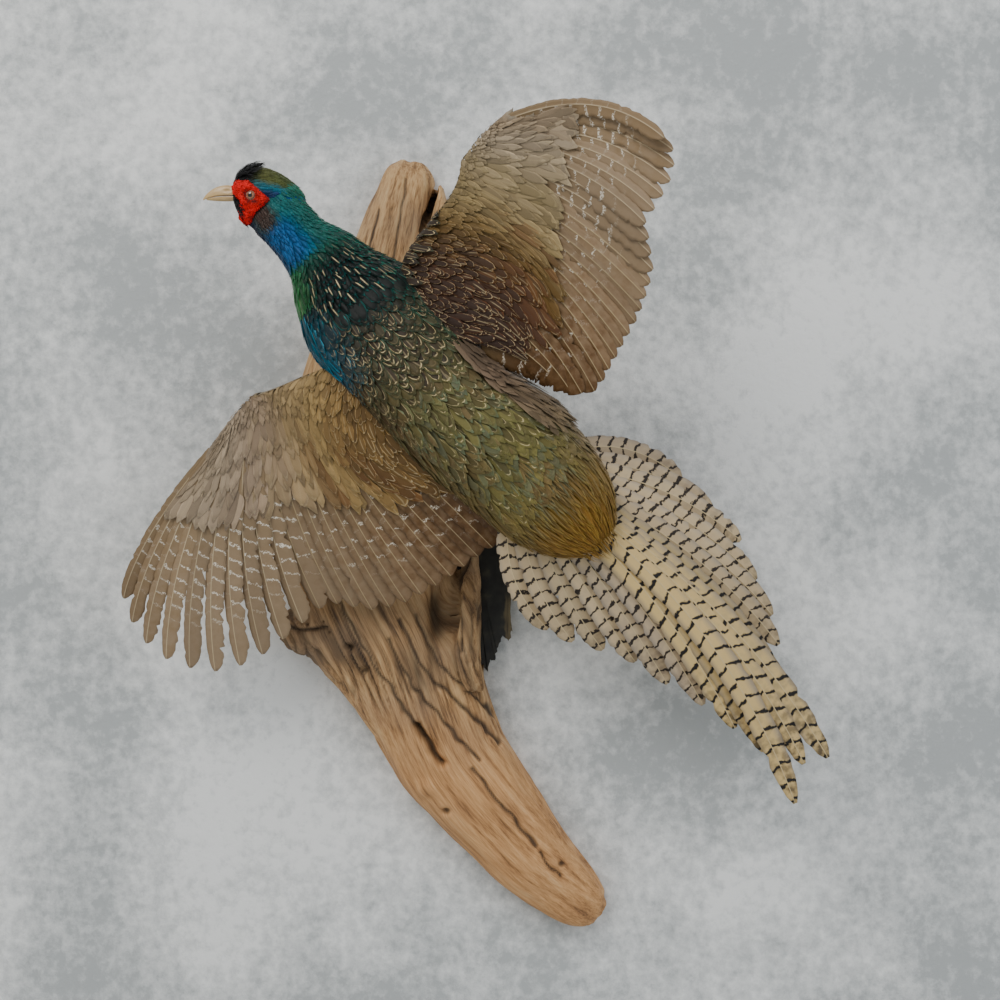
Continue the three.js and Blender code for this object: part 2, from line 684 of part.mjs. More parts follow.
const legAxis = vec(LEG_AXIS).normalize();
const legSide = vec(LEG_SIDE).normalize();

function toeTube(base, angle, length, claw) {
  const turn = new THREE.Quaternion().setFromAxisAngle(AWAY_FROM_WALL, THREE.MathUtils.degToRad(angle));
  const along = legAxis.clone().applyQuaternion(turn);
  const hook = new THREE.Vector3(0, 1, 0);
  const points = [0, 0.5, 1].map((t) => offset(base, along, length * t, hook, -3 * Math.sin(Math.PI * t)));
  points.push(offset(base, along, length + claw * 0.6, hook, 1.5));
  points.push(offset(base, along, length + claw, hook, 5));
  const radii = [TOE_RADIUS, TOE_RADIUS * 0.95, TOE_RADIUS * 0.75, 1.5, 0.5];
  return toSolid(taperedTube(points, radii, TOE_SIDES));
}

for (const [side, label] of [[-1, 'left'], [1, 'right']]) {
  const hock = offset(vec(HOCK_AT), legSide, side * HOCK_APART);
  const hip = offset(hock, legAxis, -THIGH.length, AWAY_FROM_WALL, -THIGH.rise, legSide, side * 12);
  const thighPoints = [0, 0.25, 0.5, 0.75, 0.97].map((t) => hip.clone().lerp(hock, t));
  const thighRadii = [0.8, 1, 0.86, 0.5, 0].map((s) => THREE.MathUtils.lerp(THIGH.bottom, THIGH.top, s));
  const thigh = toSolid(taperedTube(thighPoints, thighRadii, 12)).subtract(bodyGrown);
  add(model, `thigh_${label}`, toGeometry(thigh), FINISH.mantle);

  const shankStart = offset(hip.clone().lerp(hock, 0.97), hock.clone().sub(hip).normalize(), GAP);
  const ankle = offset(hock, legAxis, SHANK.length);
  const shankPoints = [shankStart, hock, hock.clone().lerp(ankle, 0.3), hock.clone().lerp(ankle, 0.8), ankle];
  const shankRadii = [1.25, 1.35, 1, 1, 1.15].map((s) => s * SHANK.radius);
  const spurBase = hock.clone().lerp(ankle, SPUR.at);
  const spurEnd = offset(spurBase, legSide, -side * SPUR.length, legAxis, -2);
  const spur = toSolid(taperedTube([spurBase, spurBase.clone().lerp(spurEnd, 0.6), spurEnd],
    [SPUR.radius, SPUR.radius * 0.7, 0.5], 6));
  const shank = toSolid(taperedTube(shankPoints, shankRadii, 10)).add(spur);
  add(model, `shank_${label}`, toGeometry(shank), FINISH.leg);

  const sole = offset(ankle, legAxis, GAP + TOE_RADIUS * 1.6);
  const pad = new THREE.SphereGeometry(TOE_RADIUS * 1.6, 6, 4);
  pad.deleteAttribute('normal');
  pad.deleteAttribute('uv');
  const foot = TOES.reduce(
    (sum, { length, angle, claw }) => sum.add(toeTube(sole, angle, length, claw)),
    toSolid(mergeVertices(pad.translate(sole.x, sole.y, sole.z), 1e-4)),
  );
  const grownShank = toSolid(taperedTube(shankPoints, shankRadii.map((r) => r + GAP), 10));
  const grownEnd = toSolid(taperedTube([ankle, offset(ankle, legAxis, GAP)], [6, 6], 10));
  add(model, `foot_${label}`, toGeometry(foot.subtract(grownShank).subtract(grownEnd)), FINISH.leg);
}

// ---------------------------------------------------------------- driftwood, board and rods

// Weathered limb: flat at the wall, boxy and rounded in front.
function limb(stations, sides, grown = 0) {
  const centres = curve(stations.map(({ at: [x, z] }) => [x, grown, z]));
  const rings = stations.map(({ half, front }, i) => {
    const t = i / (stations.length - 1);
    const along = centres.getTangent(t);
    const across = new THREE.Vector3().crossVectors(along, AWAY_FROM_WALL).normalize();
    const ring = [];
    for (let k = 0; k <= sides; k++) {
      const angle = (Math.PI * k) / sides;
      const sideways = Math.sign(Math.cos(angle)) * Math.abs(Math.cos(angle)) ** 0.75;
      const forwards = Math.sin(angle) ** 0.65;
      ring.push(offset(centres.getPoint(t), across, sideways * (half + grown),
        AWAY_FROM_WALL, forwards * (front + 2 * grown)));
    }
    return ring;
  });
  return toSolid(loft(rings));
}

function rod({ x, z }, radius, from, to) {
  const cylinder = new THREE.CylinderGeometry(radius, radius, from - to, 16);
  cylinder.deleteAttribute('normal');
  cylinder.deleteAttribute('uv');
  return mergeVertices(cylinder.translate(x, (from + to) / 2, z), 1e-4);
}

const BORE_DEEPER = 1;
const bores = RODS.map((place) => toSolid(
  rod(place, ROD.radius + GAP, ROD.from + BORE_DEEPER, ROD.to - BORE_DEEPER)));
const bored = (solid) => bores.reduce((rest, bore) => rest.subtract(bore), solid);

function driftwood(grown = 0) {
  return [RIDGE, PRONG, STUB].reduce(
    (sum, piece) => sum.add(limb(piece, WOOD_SIDES_SMALL, grown)),
    limb(WOOD, WOOD_SIDES, grown),
  );
}
add(model, 'driftwood', toGeometry(bored(driftwood())), FINISH.wood);

const boardOutline = new THREE.Shape(BOARD.map(([x, z]) => new THREE.Vector2(x, z)));
const board = new THREE.ExtrudeGeometry(boardOutline, { depth: BOARD_THICK, bevelEnabled: false });
board.deleteAttribute('normal');
board.deleteAttribute('uv');
board.rotateX(Math.PI / 2);
const boardSolid = toSolid(mergeVertices(board, 1e-4)).subtract(driftwood(GAP));
add(model, 'backing_board', toGeometry(boardSolid), FINISH.board);

for (const place of RODS) add(model, place.name, rod(place, ROD.radius, ROD.from, ROD.to), FINISH.steel);

// ---------------------------------------------------------------- the body, parted

const headGrown = toSolid(headForm(GAP)).transform(head.matrix.toArray());
const parting = GAP / 2 / 25;
BODY_PARTS.forEach(({ name, from, to }, i) => {
  const starts = i === 0 ? from : from + parting;
  const ends = i === BODY_PARTS.length - 1 ? to : to - parting;
  let length = toSolid(bodyLength(starts, ends));
  if (name === 'neck_upper') length = length.subtract(headGrown);
  const material = [FINISH.neckBlue, FINISH.neckGreen, FINISH.mantle, FINISH.mantle, FINISH.rump, FINISH.rust][i];
  add(model, name, toGeometry(bored(length)), material);
});

export default model;
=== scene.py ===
# %% [markdown]
# # A cock pheasant in flight on driftwood
# A dark, ringless cock pheasant is mounted with its back to the viewer on a piece of driftwood
# that hangs on a wall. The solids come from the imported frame. Here they get their looks: one skin
# under thousands of overlapping feathers, barred flight feathers, a glass eye and weathered wood.

# %% Load the frame
import math

import bmesh
import bpy
import mathutils
import numpy as np
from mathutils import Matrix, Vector
from mathutils.bvhtree import BVHTree
from mathutils.kdtree import KDTree


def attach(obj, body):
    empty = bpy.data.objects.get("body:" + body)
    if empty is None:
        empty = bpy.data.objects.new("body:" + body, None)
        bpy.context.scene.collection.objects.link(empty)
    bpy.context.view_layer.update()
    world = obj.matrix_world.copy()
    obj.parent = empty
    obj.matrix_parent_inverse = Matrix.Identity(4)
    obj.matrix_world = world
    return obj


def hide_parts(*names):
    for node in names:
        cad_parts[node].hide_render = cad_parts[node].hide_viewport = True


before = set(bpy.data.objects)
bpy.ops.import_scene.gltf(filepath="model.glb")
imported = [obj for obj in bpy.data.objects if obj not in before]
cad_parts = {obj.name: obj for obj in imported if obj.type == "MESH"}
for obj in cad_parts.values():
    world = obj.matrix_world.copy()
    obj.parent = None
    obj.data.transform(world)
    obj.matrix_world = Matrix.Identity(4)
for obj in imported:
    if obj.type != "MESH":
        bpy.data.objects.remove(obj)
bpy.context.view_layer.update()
MM = 0.001
FULL = 2 * math.pi
rng = np.random.default_rng(7)
print("nodes:", len(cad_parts))


def add_object(name, data):
    """A new object with this data, in the scene."""
    piece = bpy.data.objects.new(name, data)
    bpy.context.scene.collection.objects.link(piece)
    return piece


def faces_of(pieces):
    """The number of faces of each piece, or of each first of a pair."""
    return [len((piece[0] if isinstance(piece, tuple) else piece).data.polygons) for piece in pieces]


def circle(count):
    """count angles at even steps once round."""
    return np.linspace(0, FULL, count, endpoint=False)


# %% [markdown]
# ## Camera, lights and stage
# The camera stands level in front of the wall, a metre and a half away, as someone looking at the
# mount would. A pale floor lies below and a pale wall stands behind, and both are only a stage.
# The wall's far side is clear, so that the back of the mount can be looked at too.

# %% Camera
CAMERA_AT = (0.114, -1.5, -0.062)
LENS = 52.3
SENSOR = 36.0


def place_camera():
    data = bpy.data.cameras.new("camera")
    data.lens = LENS
    data.sensor_width = SENSOR
    camera = add_object("camera", data)
    camera.location = CAMERA_AT
    camera.rotation_euler = (math.radians(90), 0, 0)
    bpy.context.scene.camera = camera


place_camera()
print("camera at", CAMERA_AT, "with a lens of", LENS, "mm")

# %% [markdown]
# ## Materials from nodes
# A finish in Blender is a small graph of nodes: noises, ramps and sums that end in one shader. It
# could be drawn by hand in the shader editor. Written as calls it stays short and can be read as a
# formula, so the helpers below add one kind of node each and return its output.

# %% Helpers for colours and nodes


def linear(code):
    """Linear RGBA of an sRGB hex colour such as 'a1b2c3'."""
    parts = [int(code[i:i + 2], 16) / 255 for i in (0, 2, 4)]
    return [c / 12.92 if c <= 0.04045 else ((c + 0.055) / 1.055) ** 2.4 for c in parts] + [1.0]


class Value:
    """An output of a node. A sign between values adds a math node, as in (u - 0.5) * 40."""

    def __init__(self, tree, socket):
        self.tree, self.socket = tree, socket


def sign_for(operation, turned):
    """The method of a sign; turned: the value stands to the right of a plain number."""
    def method(value, *others):
        terms = [*others, value] if turned else [value, *others]
        return put(value.tree, "Math", *terms, operation=operation)
    return method


for sign, operation in (("add", "ADD"), ("sub", "SUBTRACT"), ("mul", "MULTIPLY"), ("truediv", "DIVIDE")):
    setattr(Value, f"__{sign}__", sign_for(operation, False))
    setattr(Value, f"__r{sign}__", sign_for(operation, True))
Value.__abs__ = sign_for("ABSOLUTE", False)


def set_socket(tree, socket, value):
    """Links a value to an input, or sets the input to a number, a vector or an sRGB hex colour."""
    value = getattr(value, "socket", value)
    if isinstance(value, bpy.types.NodeSocket):
        tree.links.new(value, socket)
    else:
        socket.default_value = linear(value) if isinstance(value, str) else value


def put(tree, kind, *inputs, at=None, out=0, stops=None, **settings):
    """Adds a node, sets or links its inputs in order or by name (at), and returns an output.
    stops: the colours of a ramp, as for stops_of."""
    node = tree.nodes.new(kind if kind.startswith("Geometry") else "ShaderNode" + kind)
    for key, value in settings.items():
        setattr(node, key, value)
    for key, value in [*enumerate(inputs), *(at or {}).items()]:
        set_socket(tree, node.inputs[key], value)
    if stops:
        stops = stops_of(stops)
        elements = node.color_ramp.elements
        while len(elements) < len(stops):
            elements.new(0.5)
        for element, (place, code) in zip(elements, stops):
            element.position = place
            element.color = linear(code)
    return Value(tree, node.outputs[out])


def stops_of(text):
    """'0.3 a1b2c3, 0.7 ffffff' as pairs of a place and an sRGB hex colour."""
    return [(float(place), code) for place, code in (stop.split() for stop in text.split(","))]


def rgb(code):
    return np.array(linear(code)[:3])


def calculator(tree):
    """A maker of math nodes in the tree: calc("ADD", a, b)."""
    return lambda operation, *values: put(tree, "Math", *values, operation=operation)


def mix(tree, share, colour, other):
    """colour, with a share of other over it."""
    return put(tree, "Mix", at={0: share, 6: colour, 7: other}, out=2, data_type="RGBA")


def noise(tree, place, scale, detail=2.0, roughness=0.5):
    return put(tree, "TexNoise", at={"Vector": place, "Scale": scale, "Detail": detail,
                                     "Roughness": roughness})


def ramp(tree, value, stops):
    return put(tree, "ValToRGB", value, stops=stops)


def remap(tree, value, *ends, **settings):
    """value from the first two ends, low and high, to the last two or to 0 and 1."""
    return put(tree, "MapRange", value, *ends, **settings)


def attribute(tree, name, out="Fac"):
    """A value that the mesh holds for each of its points."""
    return put(tree, "Attribute", attribute_name=name, out=out)


def times(tree, vector, by):
    return put(tree, "VectorMath", vector, by, operation="MULTIPLY")


def relief(tree, height, strength, distance, **settings):
    return put(tree, "Bump", at={"Height": height, "Strength": strength, "Distance": distance},
               **settings)


def object_place(tree):
    return put(tree, "TexCoord", out="Object")


def new_material(name):
    material = bpy.data.materials.new(name)
    material.use_nodes = True
    return material, material.node_tree


def finish(tree, **inputs):
    """Sets or links the surface shader's inputs, named with underscores for spaces."""
    shader = tree.nodes["Principled BSDF"]
    for key, value in inputs.items():
        set_socket(tree, shader.inputs[key.replace("_", " ")], value)
    return shader.outputs[0]


# %% Lights and stage
def area_light(name, at, size, watts, colour, towards=(0.1, -0.1, -0.05)):
    data = bpy.data.lights.new(name, "AREA")
    data.size = size
    data.energy = watts
    data.color = colour
    light = add_object(name, data)
    light.location = at
    light.rotation_euler = (Vector(towards) - Vector(at)).to_track_quat("-Z", "Y").to_euler()


def light_stage():
    area_light("key", (-0.9, -1.7, 1.5), 1.3, 38, (1.0, 0.97, 0.93))
    area_light("fill", (1.6, -1.6, 0.5), 1.8, 13, (0.93, 0.96, 1.0))
    area_light("behind", (0.2, 1.6, 0.9), 1.6, 14, (1.0, 1.0, 1.0))
    world = bpy.data.worlds.new("studio")
    world.use_nodes = True
    background = world.node_tree.nodes["Background"]
    background.inputs["Color"].default_value = (0.82, 0.86, 0.9, 1)
    background.inputs["Strength"].default_value = 0.55
    bpy.context.scene.world = world


def stage_sheet(name, corners, tones, clear_behind):
    mesh = bpy.data.meshes.new(name)
    mesh.from_pydata(corners, [], [(0, 1, 2, 3)])
    sheet = add_object(name, mesh)
    material, tree = new_material(name + "_paint")
    place = object_place(tree)
    cloud = noise(tree, place, 4.0, 4.0)
    crust = noise(tree, place, 70.0, 8.0, 0.7)
    both = cloud * 0.6 + crust * 0.4
    tone = ramp(tree, both, f"0.42 {tones[0]}, 0.58 {tones[1]}")
    bump = relief(tree, crust, 0.5, 0.004)
    painted = finish(tree, Base_Color=tone, Roughness=0.9, Specular_IOR_Level=0.2, Normal=bump)
    if clear_behind:
        seen_behind = put(tree, "NewGeometry", out="Backfacing")
        see_through = put(tree, "MixShader", seen_behind, painted, put(tree, "BsdfTransparent"))
        tree.links.new(see_through.socket, tree.nodes["Material Output"].inputs["Surface"])
    mesh.materials.append(material)
    # The light behind the wall has to reach the back of the mount.
    sheet.visible_shadow = not clear_behind


FLOOR_Z = -0.86
WALL_Y = 0.002
light_stage()
stage_sheet("stage_wall", [(-3, WALL_Y, FLOOR_Z), (3, WALL_Y, FLOOR_Z), (3, WALL_Y, 3), (-3, WALL_Y, 3)],
            ("b2b6b6", "f0f1ef"), True)
stage_sheet("stage_floor", [(-4, -4, FLOOR_Z), (4, -4, FLOOR_Z), (4, 4, FLOOR_Z), (-4, 4, FLOOR_Z)],
            ("c2c4c4", "dcdddc"), False)
print("camera, lights and stage")

# %% [markdown]
# ## The lines of the body
# Everything on the bird is placed by a few smooth lines: the spine with its widths, the head's
# profile, the wing bones with the tips of the feathers, and the fan of the tail. They are the same
# real sizes, in millimetres, that the solids were made from.

# %% Curves through points


def spline(points, at):
    """Catmull-Rom curve through points, at places 0 to len(points) - 1, straight beyond its ends."""
    points = np.asarray(points, float)
    at = np.asarray(at, float)
    count = len(points)
    inside = np.clip(at, 0, count - 1)
    i = np.minimum(inside.astype(int), count - 2)
    f = (inside - i)[..., None]
    padded = np.concatenate([[2 * points[0] - points[1]], points, [2 * points[-1] - points[-2]]])
    a, b, c, d = (padded[i + k] for k in range(4))
    value = 0.5 * (2 * b + (c - a) * f + (2 * a - 5 * b + 4 * c - d) * f**2 + (3 * b - a - 3 * c + d)
                   * f**3)
    ends = (at - inside)[..., None]
    before, after = points[1] - points[0], points[-1] - points[-2]
    return value + np.where(ends < 0, before, after) * ends


def spline_even(points, count):
    """count points at even steps of length along the curve."""
    fine = spline(points, np.linspace(0, len(points) - 1, 400))
    length = np.concatenate([[0], np.cumsum(np.linalg.norm(np.diff(fine, axis=0), axis=1))])
    places = np.interp(np.linspace(0, length[-1], count), length, np.linspace(0, len(points) - 1, 400))
    return spline(points, places)


def unit(vectors):
    return vectors / np.maximum(np.linalg.norm(vectors, axis=-1, keepdims=True), 1e-9)


def smooth(low, high, x):
    t = np.clip((x - low) / (high - low), 0, 1)
    return t * t * (3 - 2 * t)


print("a curve through 0, 1, 0 halfway to its middle:", spline([[0.0], [1.0], [0.0]], 0.5))

# %% The spine
# centre x, y, z, half width, half depth
BODY = np.array([
    [-93, -163, 203, 28, 21], [-79, -162, 189, 28, 23], [-66, -160, 175, 29, 26],
    [-49, -157, 158, 38, 33], [-33, -154, 136, 50, 43], [-13, -152, 112, 61, 53],
    [17, -150, 79, 60, 59], [51, -150, 44, 59, 60], [86, -151, 9, 59, 57],
    [125, -153, -21, 61, 49], [158, -155, -53, 57, 36], [184, -156, -79, 46, 22],
    [203, -156, -99, 24, 10],
])
TOWARDS_VIEWER = np.array([0.0, -1.0, 0.0])


def body_surface(s, around, lift):
    """Points on the trunk: s along the spine, around in radians (0 left side, pi/2 the back)."""
    line = spline(BODY, s)
    ahead = spline(BODY[:, :3], s + 0.05) - spline(BODY[:, :3], s - 0.05)
    along = unit(ahead)
    across = unit(np.cross(along, TOWARDS_VIEWER))
    up = np.cross(across, along)
    wide = (line[..., 3] + lift) * np.cos(around)
    deep = (np.maximum(line[..., 4], 4) + lift) * np.sin(around)
    return line[..., :3] + across * wide[..., None] + up * deep[..., None]


print("spine of", len(BODY), "stations")

# %% The head
HEAD_AT = np.array([-105.0, -163.0, 217.0])
HEAD_ROLL = math.radians(8)
# x towards the bill, top, bottom, half width
HEAD = np.array([
    [26.7, 12, -3, 6.4], [22, 20.5, -14, 10.2], [12, 26.8, -28, 14.4], [0, 28.2, -31, 16.6],
    [-14.7, 23.4, -29, 16.4], [-28, 14.5, -23, 13.2], [-38.5, 4, -12, 6],
])
HEAD_LEVEL = 0.52


def head_to_world(local):
    """From the head's frame (x to the bill, y to its left, z to the crown) to the wall's."""
    local = np.asarray(local, float)
    cos, sin = math.cos(HEAD_ROLL), math.sin(HEAD_ROLL)
    x, y, z = local[..., 0], local[..., 1], local[..., 2]
    rolled_y = y * cos + z * sin
    rolled_z = -y * sin + z * cos
    return HEAD_AT + np.stack([-x, -rolled_y, rolled_z], axis=-1)


def head_local(s, around, lift):
    """s from 0 at the bill to 6 behind the head; around 0 is the bird's left, pi/2 the crown."""
    line = spline(HEAD, s)
    middle = line[..., 2] + HEAD_LEVEL * (line[..., 1] - line[..., 2])
    rise = np.sin(around)
    height = np.where(rise > 0, line[..., 1] - middle, middle - line[..., 2]) + lift
    return np.stack([line[..., 0], (np.maximum(line[..., 3], 2) + lift) * np.cos(around),
                     middle + np.maximum(height, 1) * rise], axis=-1)


def head_surface(s, around, lift):
    return head_to_world(head_local(s, around, lift))


print("head of", len(HEAD), "stations, crown at", head_surface(3.0, math.pi / 2, 0.0).round())

# %% The wings
INNER_FEATHERS = 14
PRIMARIES = 10
WING_FEATHERS = INNER_FEATHERS + PRIMARIES
WINGS = {
    "left": {
        "leading": [[40, -165, 76], [-10, -165, 74], [-48, -158, 60], [-79, -155, 48], [-123, -146, 25]],
        "leading_hand": [[-125, -145, 23], [-146, -140, 4], [-166, -133, -20]],
        "inner": [[21, -150, 8], [-30, -146, -6], [-73, -143, 15], [-109, -140, 27]],
        "hand": [[-113, -139, 24], [-134, -136, 6], [-157, -132, -15]],
        "inner_tips": [[135, -130, -90], [94, -112, -115], [62, -97, -138], [27, -88, -159],
                       [4, -82, -167], [-18, -80, -169], [-41, -80, -163], [-62, -80, -168]],
        "hand_tips": [[-79, -80, -182], [-117, -82, -212], [-145, -84, -225], [-175, -86, -228],
                      [-214, -89, -214], [-238, -92, -188], [-250, -95, -157]],
        "bow": ([4, -11, 0], [-8, -11, 0], [-13, -9, -7]),
        "normal": [-0.12, -0.96, -0.24],
        "thick": (15, 7, 3.5),
    },
    "right": {
        "leading": [[21, -172, 107], [27, -176, 157], [52, -188, 190], [74, -202, 216], [87, -213, 237]],
        "leading_hand": [[88, -214, 239], [106, -225, 263], [127, -238, 281]],
        "inner": [[75, -177, 88], [116, -194, 150], [103, -205, 197], [93, -213, 230]],
        "hand": [[95, -215, 235], [105, -225, 252], [118, -236, 268]],
        "inner_tips": [[156, -178, 52], [181, -184, 37], [199, -190, 36], [213, -202, 58], [224, -213, 78],
                       [234, -222, 96], [240, -231, 112], [244, -239, 126]],
        "hand_tips": [[246, -246, 137], [241, -258, 162], [238, -264, 174], [247, -270, 188],
                      [258, -283, 209], [258, -296, 226], [249, -305, 236]],
        "bow": ([4, -8, 2], [3, -6, 9], [7, 2, 21]),
        "normal": [-0.38, -0.9, -0.2],
        "thick": (14, 7, 3.5),
    },
}
COVERED = (0.46, 0.42, 0.34)
FOIL_AT = [0, 0.07, 0.24, 0.5, 0.78, 1]
FOIL = [0, 0.62, 1, 0.8, 0.3, 0.06]


def wing_layout(wing):
    """Root, bend and tip of every flight feather, innermost first, and the wing's front edge."""
    places = np.concatenate([np.linspace(0, 1, INNER_FEATHERS), np.linspace(0, 1, PRIMARIES)])
    on_hand = np.arange(WING_FEATHERS) >= INNER_FEATHERS

    def both(inner, hand):
        inner_line = spline(wing[inner], places * (len(wing[inner]) - 1))
        hand_line = spline(wing[hand], places * (len(wing[hand]) - 1))
        return np.where(on_hand[:, None], hand_line, inner_line)

    root = both("inner", "hand")
    front = both("leading", "leading_hand")
    tip = np.concatenate([spline_even(wing["inner_tips"], INNER_FEATHERS),
                          spline_even(wing["hand_tips"], PRIMARIES)])
    share = np.arange(WING_FEATHERS) / (WING_FEATHERS - 1)
    bow = np.stack([np.interp(share, [0, 0.5, 1], [b[k] for b in wing["bow"]]) for k in range(3)], axis=1)
    middle = np.array([0, INNER_FEATHERS - 0.5, WING_FEATHERS - 1])
    start = np.interp(np.arange(WING_FEATHERS), middle, COVERED)
    thick = np.interp(np.arange(WING_FEATHERS), middle, wing["thick"])
    control = (root + tip) / 2 + 2 * bow
    return {"root": root, "tip": tip, "control": control, "front": front, "start": start,
            "thick": thick, "normal": unit(np.array(wing["normal"]))}


LAYOUT = {side: wing_layout(wing) for side, wing in WINGS.items()}


def bezier(a, b, c, t):
    return (1 - t) ** 2 * a + 2 * t * (1 - t) * b + t**2 * c


def wing_surface(layout, face, from_front=True):
    """A surface over one wing: chord 0 at the front edge, 1 at the edge of the coverts and on over
    the flight feathers; span counts feathers from the body. face is 1 above and -1 below.
    from_front: chord 0 is the foremost point of the section, so that chord always runs backwards."""

    def at(values, span):
        span = np.clip(span, 0, WING_FEATHERS - 1)
        low = np.minimum(span.astype(int), WING_FEATHERS - 2)
        f = span - low
        f = f[..., None] if values.ndim > 1 else f
        return values[low] * (1 - f) + values[low + 1] * f

    def surface(chord, span, lift):
        span = np.asarray(span, float) + 0 * chord
        root, tip = at(layout["root"], span), at(layout["tip"], span)
        control, front = at(layout["control"], span), at(layout["front"], span)
        start, thick = at(layout["start"], span), at(layout["thick"], span)
        edge = bezier(root, control, tip, start[..., None])
        bend = 2 * root - 0.5 * front - 0.5 * edge
        ahead = np.einsum("...k,...k", bend - front, edge - front)
        behind = np.einsum("...k,...k", edge - bend, edge - front)
        foremost = np.clip(-ahead / np.maximum(behind - ahead, 1e-6), 0, 0.35) * from_front
        chord = np.where(chord < 1, foremost + (1 - foremost) * chord, chord)
        on_foil = np.clip(chord, 0, 1)[..., None]
        beyond = np.clip(start + np.maximum(chord - 1, 0) * 0.6, 0, 1)[..., None]
        camber = np.where(chord[..., None] <= 1, bezier(front, bend, edge, on_foil),
                          bezier(root, control, tip, beyond))
        profile = np.interp(chord, FOIL_AT, FOIL)
        return camber + layout["normal"] * (face * (thick * profile + lift))[..., None]

    return surface


print("left wing's longest feather:", np.linalg.norm(LAYOUT["left"]["tip"] - LAYOUT["left"]["root"],
        axis=1).max().round(), "mm")

# %% The tail
TAIL_ROOT = np.array([142.0, -152.0, -39.0])
TAIL_ROOT_SPAN = 24
TAIL_SIDE = unit(np.array([0.71, 0, 0.7]))
# length, bearing in degrees below +X, sideways bow
TAIL = np.array([[148, 83, -24], [164, 75.2, -16], [181, 67.1, -9], [205, 60.3, -3], [239, 56.4, 4],
                 [275, 52.8, 11], [311, 50.8, 17], [347, 49.6, 23], [405, 50.9, 33], [382, 46.3, 29],
                 [394, 43.3, 27], [320, 40.1, 24], [288, 34.1, 22], [268, 29.8, 22], [239, 24.5, 21],
                 [212, 17, 20], [180, 11, 21], [146, 1, 24],])


def tail_layout():
    place = np.arange(len(TAIL)) / (len(TAIL) - 1) - 0.5
    length, bearing, bow = TAIL[:, 0:1], np.radians(TAIL[:, 1:2]), TAIL[:, 2:3]
    zero = 0 * bearing
    along = np.concatenate([np.cos(bearing), zero, -np.sin(bearing)], axis=1)
    aside = np.concatenate([np.sin(bearing), zero, np.cos(bearing)], axis=1)
    root = TAIL_ROOT + TAIL_SIDE * (TAIL_ROOT_SPAN * place)[:, None]
    tip = TAIL_ROOT + along * length
    outer = np.minimum(1, np.abs(place) * 2.4)
    tip[:, 1] = np.where(TAIL[:, 0] > 330, -105, -114) * (1 - outer) - 110 * outer
    control = (root + tip) / 2 + 2 * (aside * bow + TOWARDS_VIEWER * 8)
    return root, control, tip


print("wings of", WING_FEATHERS, "feathers, tail of", len(TAIL))

# %% [markdown]
# ## The skin
# Under the feathers of a mounted bird lies one cured skin. Here it is a set of closed forms along
# the same lines, joined, remeshed to one surface and smoothed, so that no seam shows where a wing
# leaves the back. It lies a few millimetres under the outline, by the depth of the coat.

# %% Lofted forms
COAT = 3.0              # depth of the coat over the skin, in mm


def lofted(rings):
    """Closed mesh data over rings of equal size."""
    rings = np.asarray(rings)
    rows, count = rings.shape[:2]
    points = [*rings.reshape(-1, 3), rings[0].mean(0), rings[-1].mean(0)]
    faces = []
    for r in range(rows - 1):
        for k in range(count):
            a, b = r * count + k, r * count + (k + 1) % count
            faces.append((a, a + count, b + count, b))
    for end, middle, turn in ((0, rows * count, 1), (rows - 1, rows * count + 1, -1)):
        for k in range(count):
            fan = (middle, end * count + k, end * count + (k + 1) % count)
            faces.append(fan[::turn])
    return np.array(points), faces


def mesh_object(name, points, faces, smooth_faces=True):
    mesh = bpy.data.meshes.new(name)
    mesh.from_pydata((np.asarray(points) * MM).tolist(), [], [tuple(f) for f in faces])
    mesh.update()
    mesh.polygons.foreach_set("use_smooth", [smooth_faces] * len(mesh.polygons))
    return add_object(name, mesh)


def apply_modifiers(piece):
    evaluated = piece.evaluated_get(bpy.context.evaluated_depsgraph_get())
    mesh = bpy.data.meshes.new_from_object(evaluated)
    piece.modifiers.clear()
    piece.data = mesh
    mesh.name = piece.name
    return piece


# %% The forms under the feathers
around = circle(32)
along_body = np.linspace(0, len(BODY) - 1, 50)
along_head = np.linspace(0, len(HEAD) - 1, 26)
LEG_AXIS = unit(np.array([0.7, 0.02, -0.71]))
LEG_SIDE = unit(np.array([0.71, 0, 0.7]))
HOCK_AT = np.array([152.0, -98.0, -62.0])
HOCK_APART = 20
THIGH_LENGTH, THIGH_RISE, THIGH_TOP, THIGH_BOTTOM = 88, -26, 25, 7.5


def leg_points(side):
    """Hip and hock of a leg; side is -1 for the bird's left and 1 for its right."""
    hock = HOCK_AT + LEG_SIDE * side * HOCK_APART
    hip = hock - LEG_AXIS * THIGH_LENGTH + TOWARDS_VIEWER * -THIGH_RISE + LEG_SIDE * side * 12
    return hip, hock


def thigh_surface(side):
    hip, hock = leg_points(side)
    axis = unit(hock - hip)
    across = unit(np.cross(axis, TOWARDS_VIEWER))
    up = np.cross(across, axis)

    def surface(s, around, lift):
        radius = THIGH_BOTTOM + (THIGH_TOP - THIGH_BOTTOM) * np.interp(s, [0, 0.25, 0.5, 0.75, 1],
                [0.8, 1, 0.86, 0.5, 0])
        ring = across * np.cos(around)[..., None] + up * np.sin(around)[..., None]
        return hip + (hock - hip) * np.asarray(s)[..., None] + ring * (radius + lift)[..., None]

    return surface


def ringed(surface, places, lift):
    return [surface(np.full(len(around), s), around, np.full(len(around), lift)) for s in places]


def wing_rings(layout, lift):
    chords = np.concatenate([[0.0], FOIL_AT[1:-1], [1.0]])
    rings = []
    for span in np.arange(0, WING_FEATHERS, 0.5):
        upper = wing_surface(layout, 1, False)(chords, np.full(len(chords), span),
                np.full(len(chords), lift))
        lower = wing_surface(layout, -1, False)(chords, np.full(len(chords), span),
                np.full(len(chords), lift))
        rings.append(np.concatenate([upper, lower[-2:0:-1]]))
    return rings


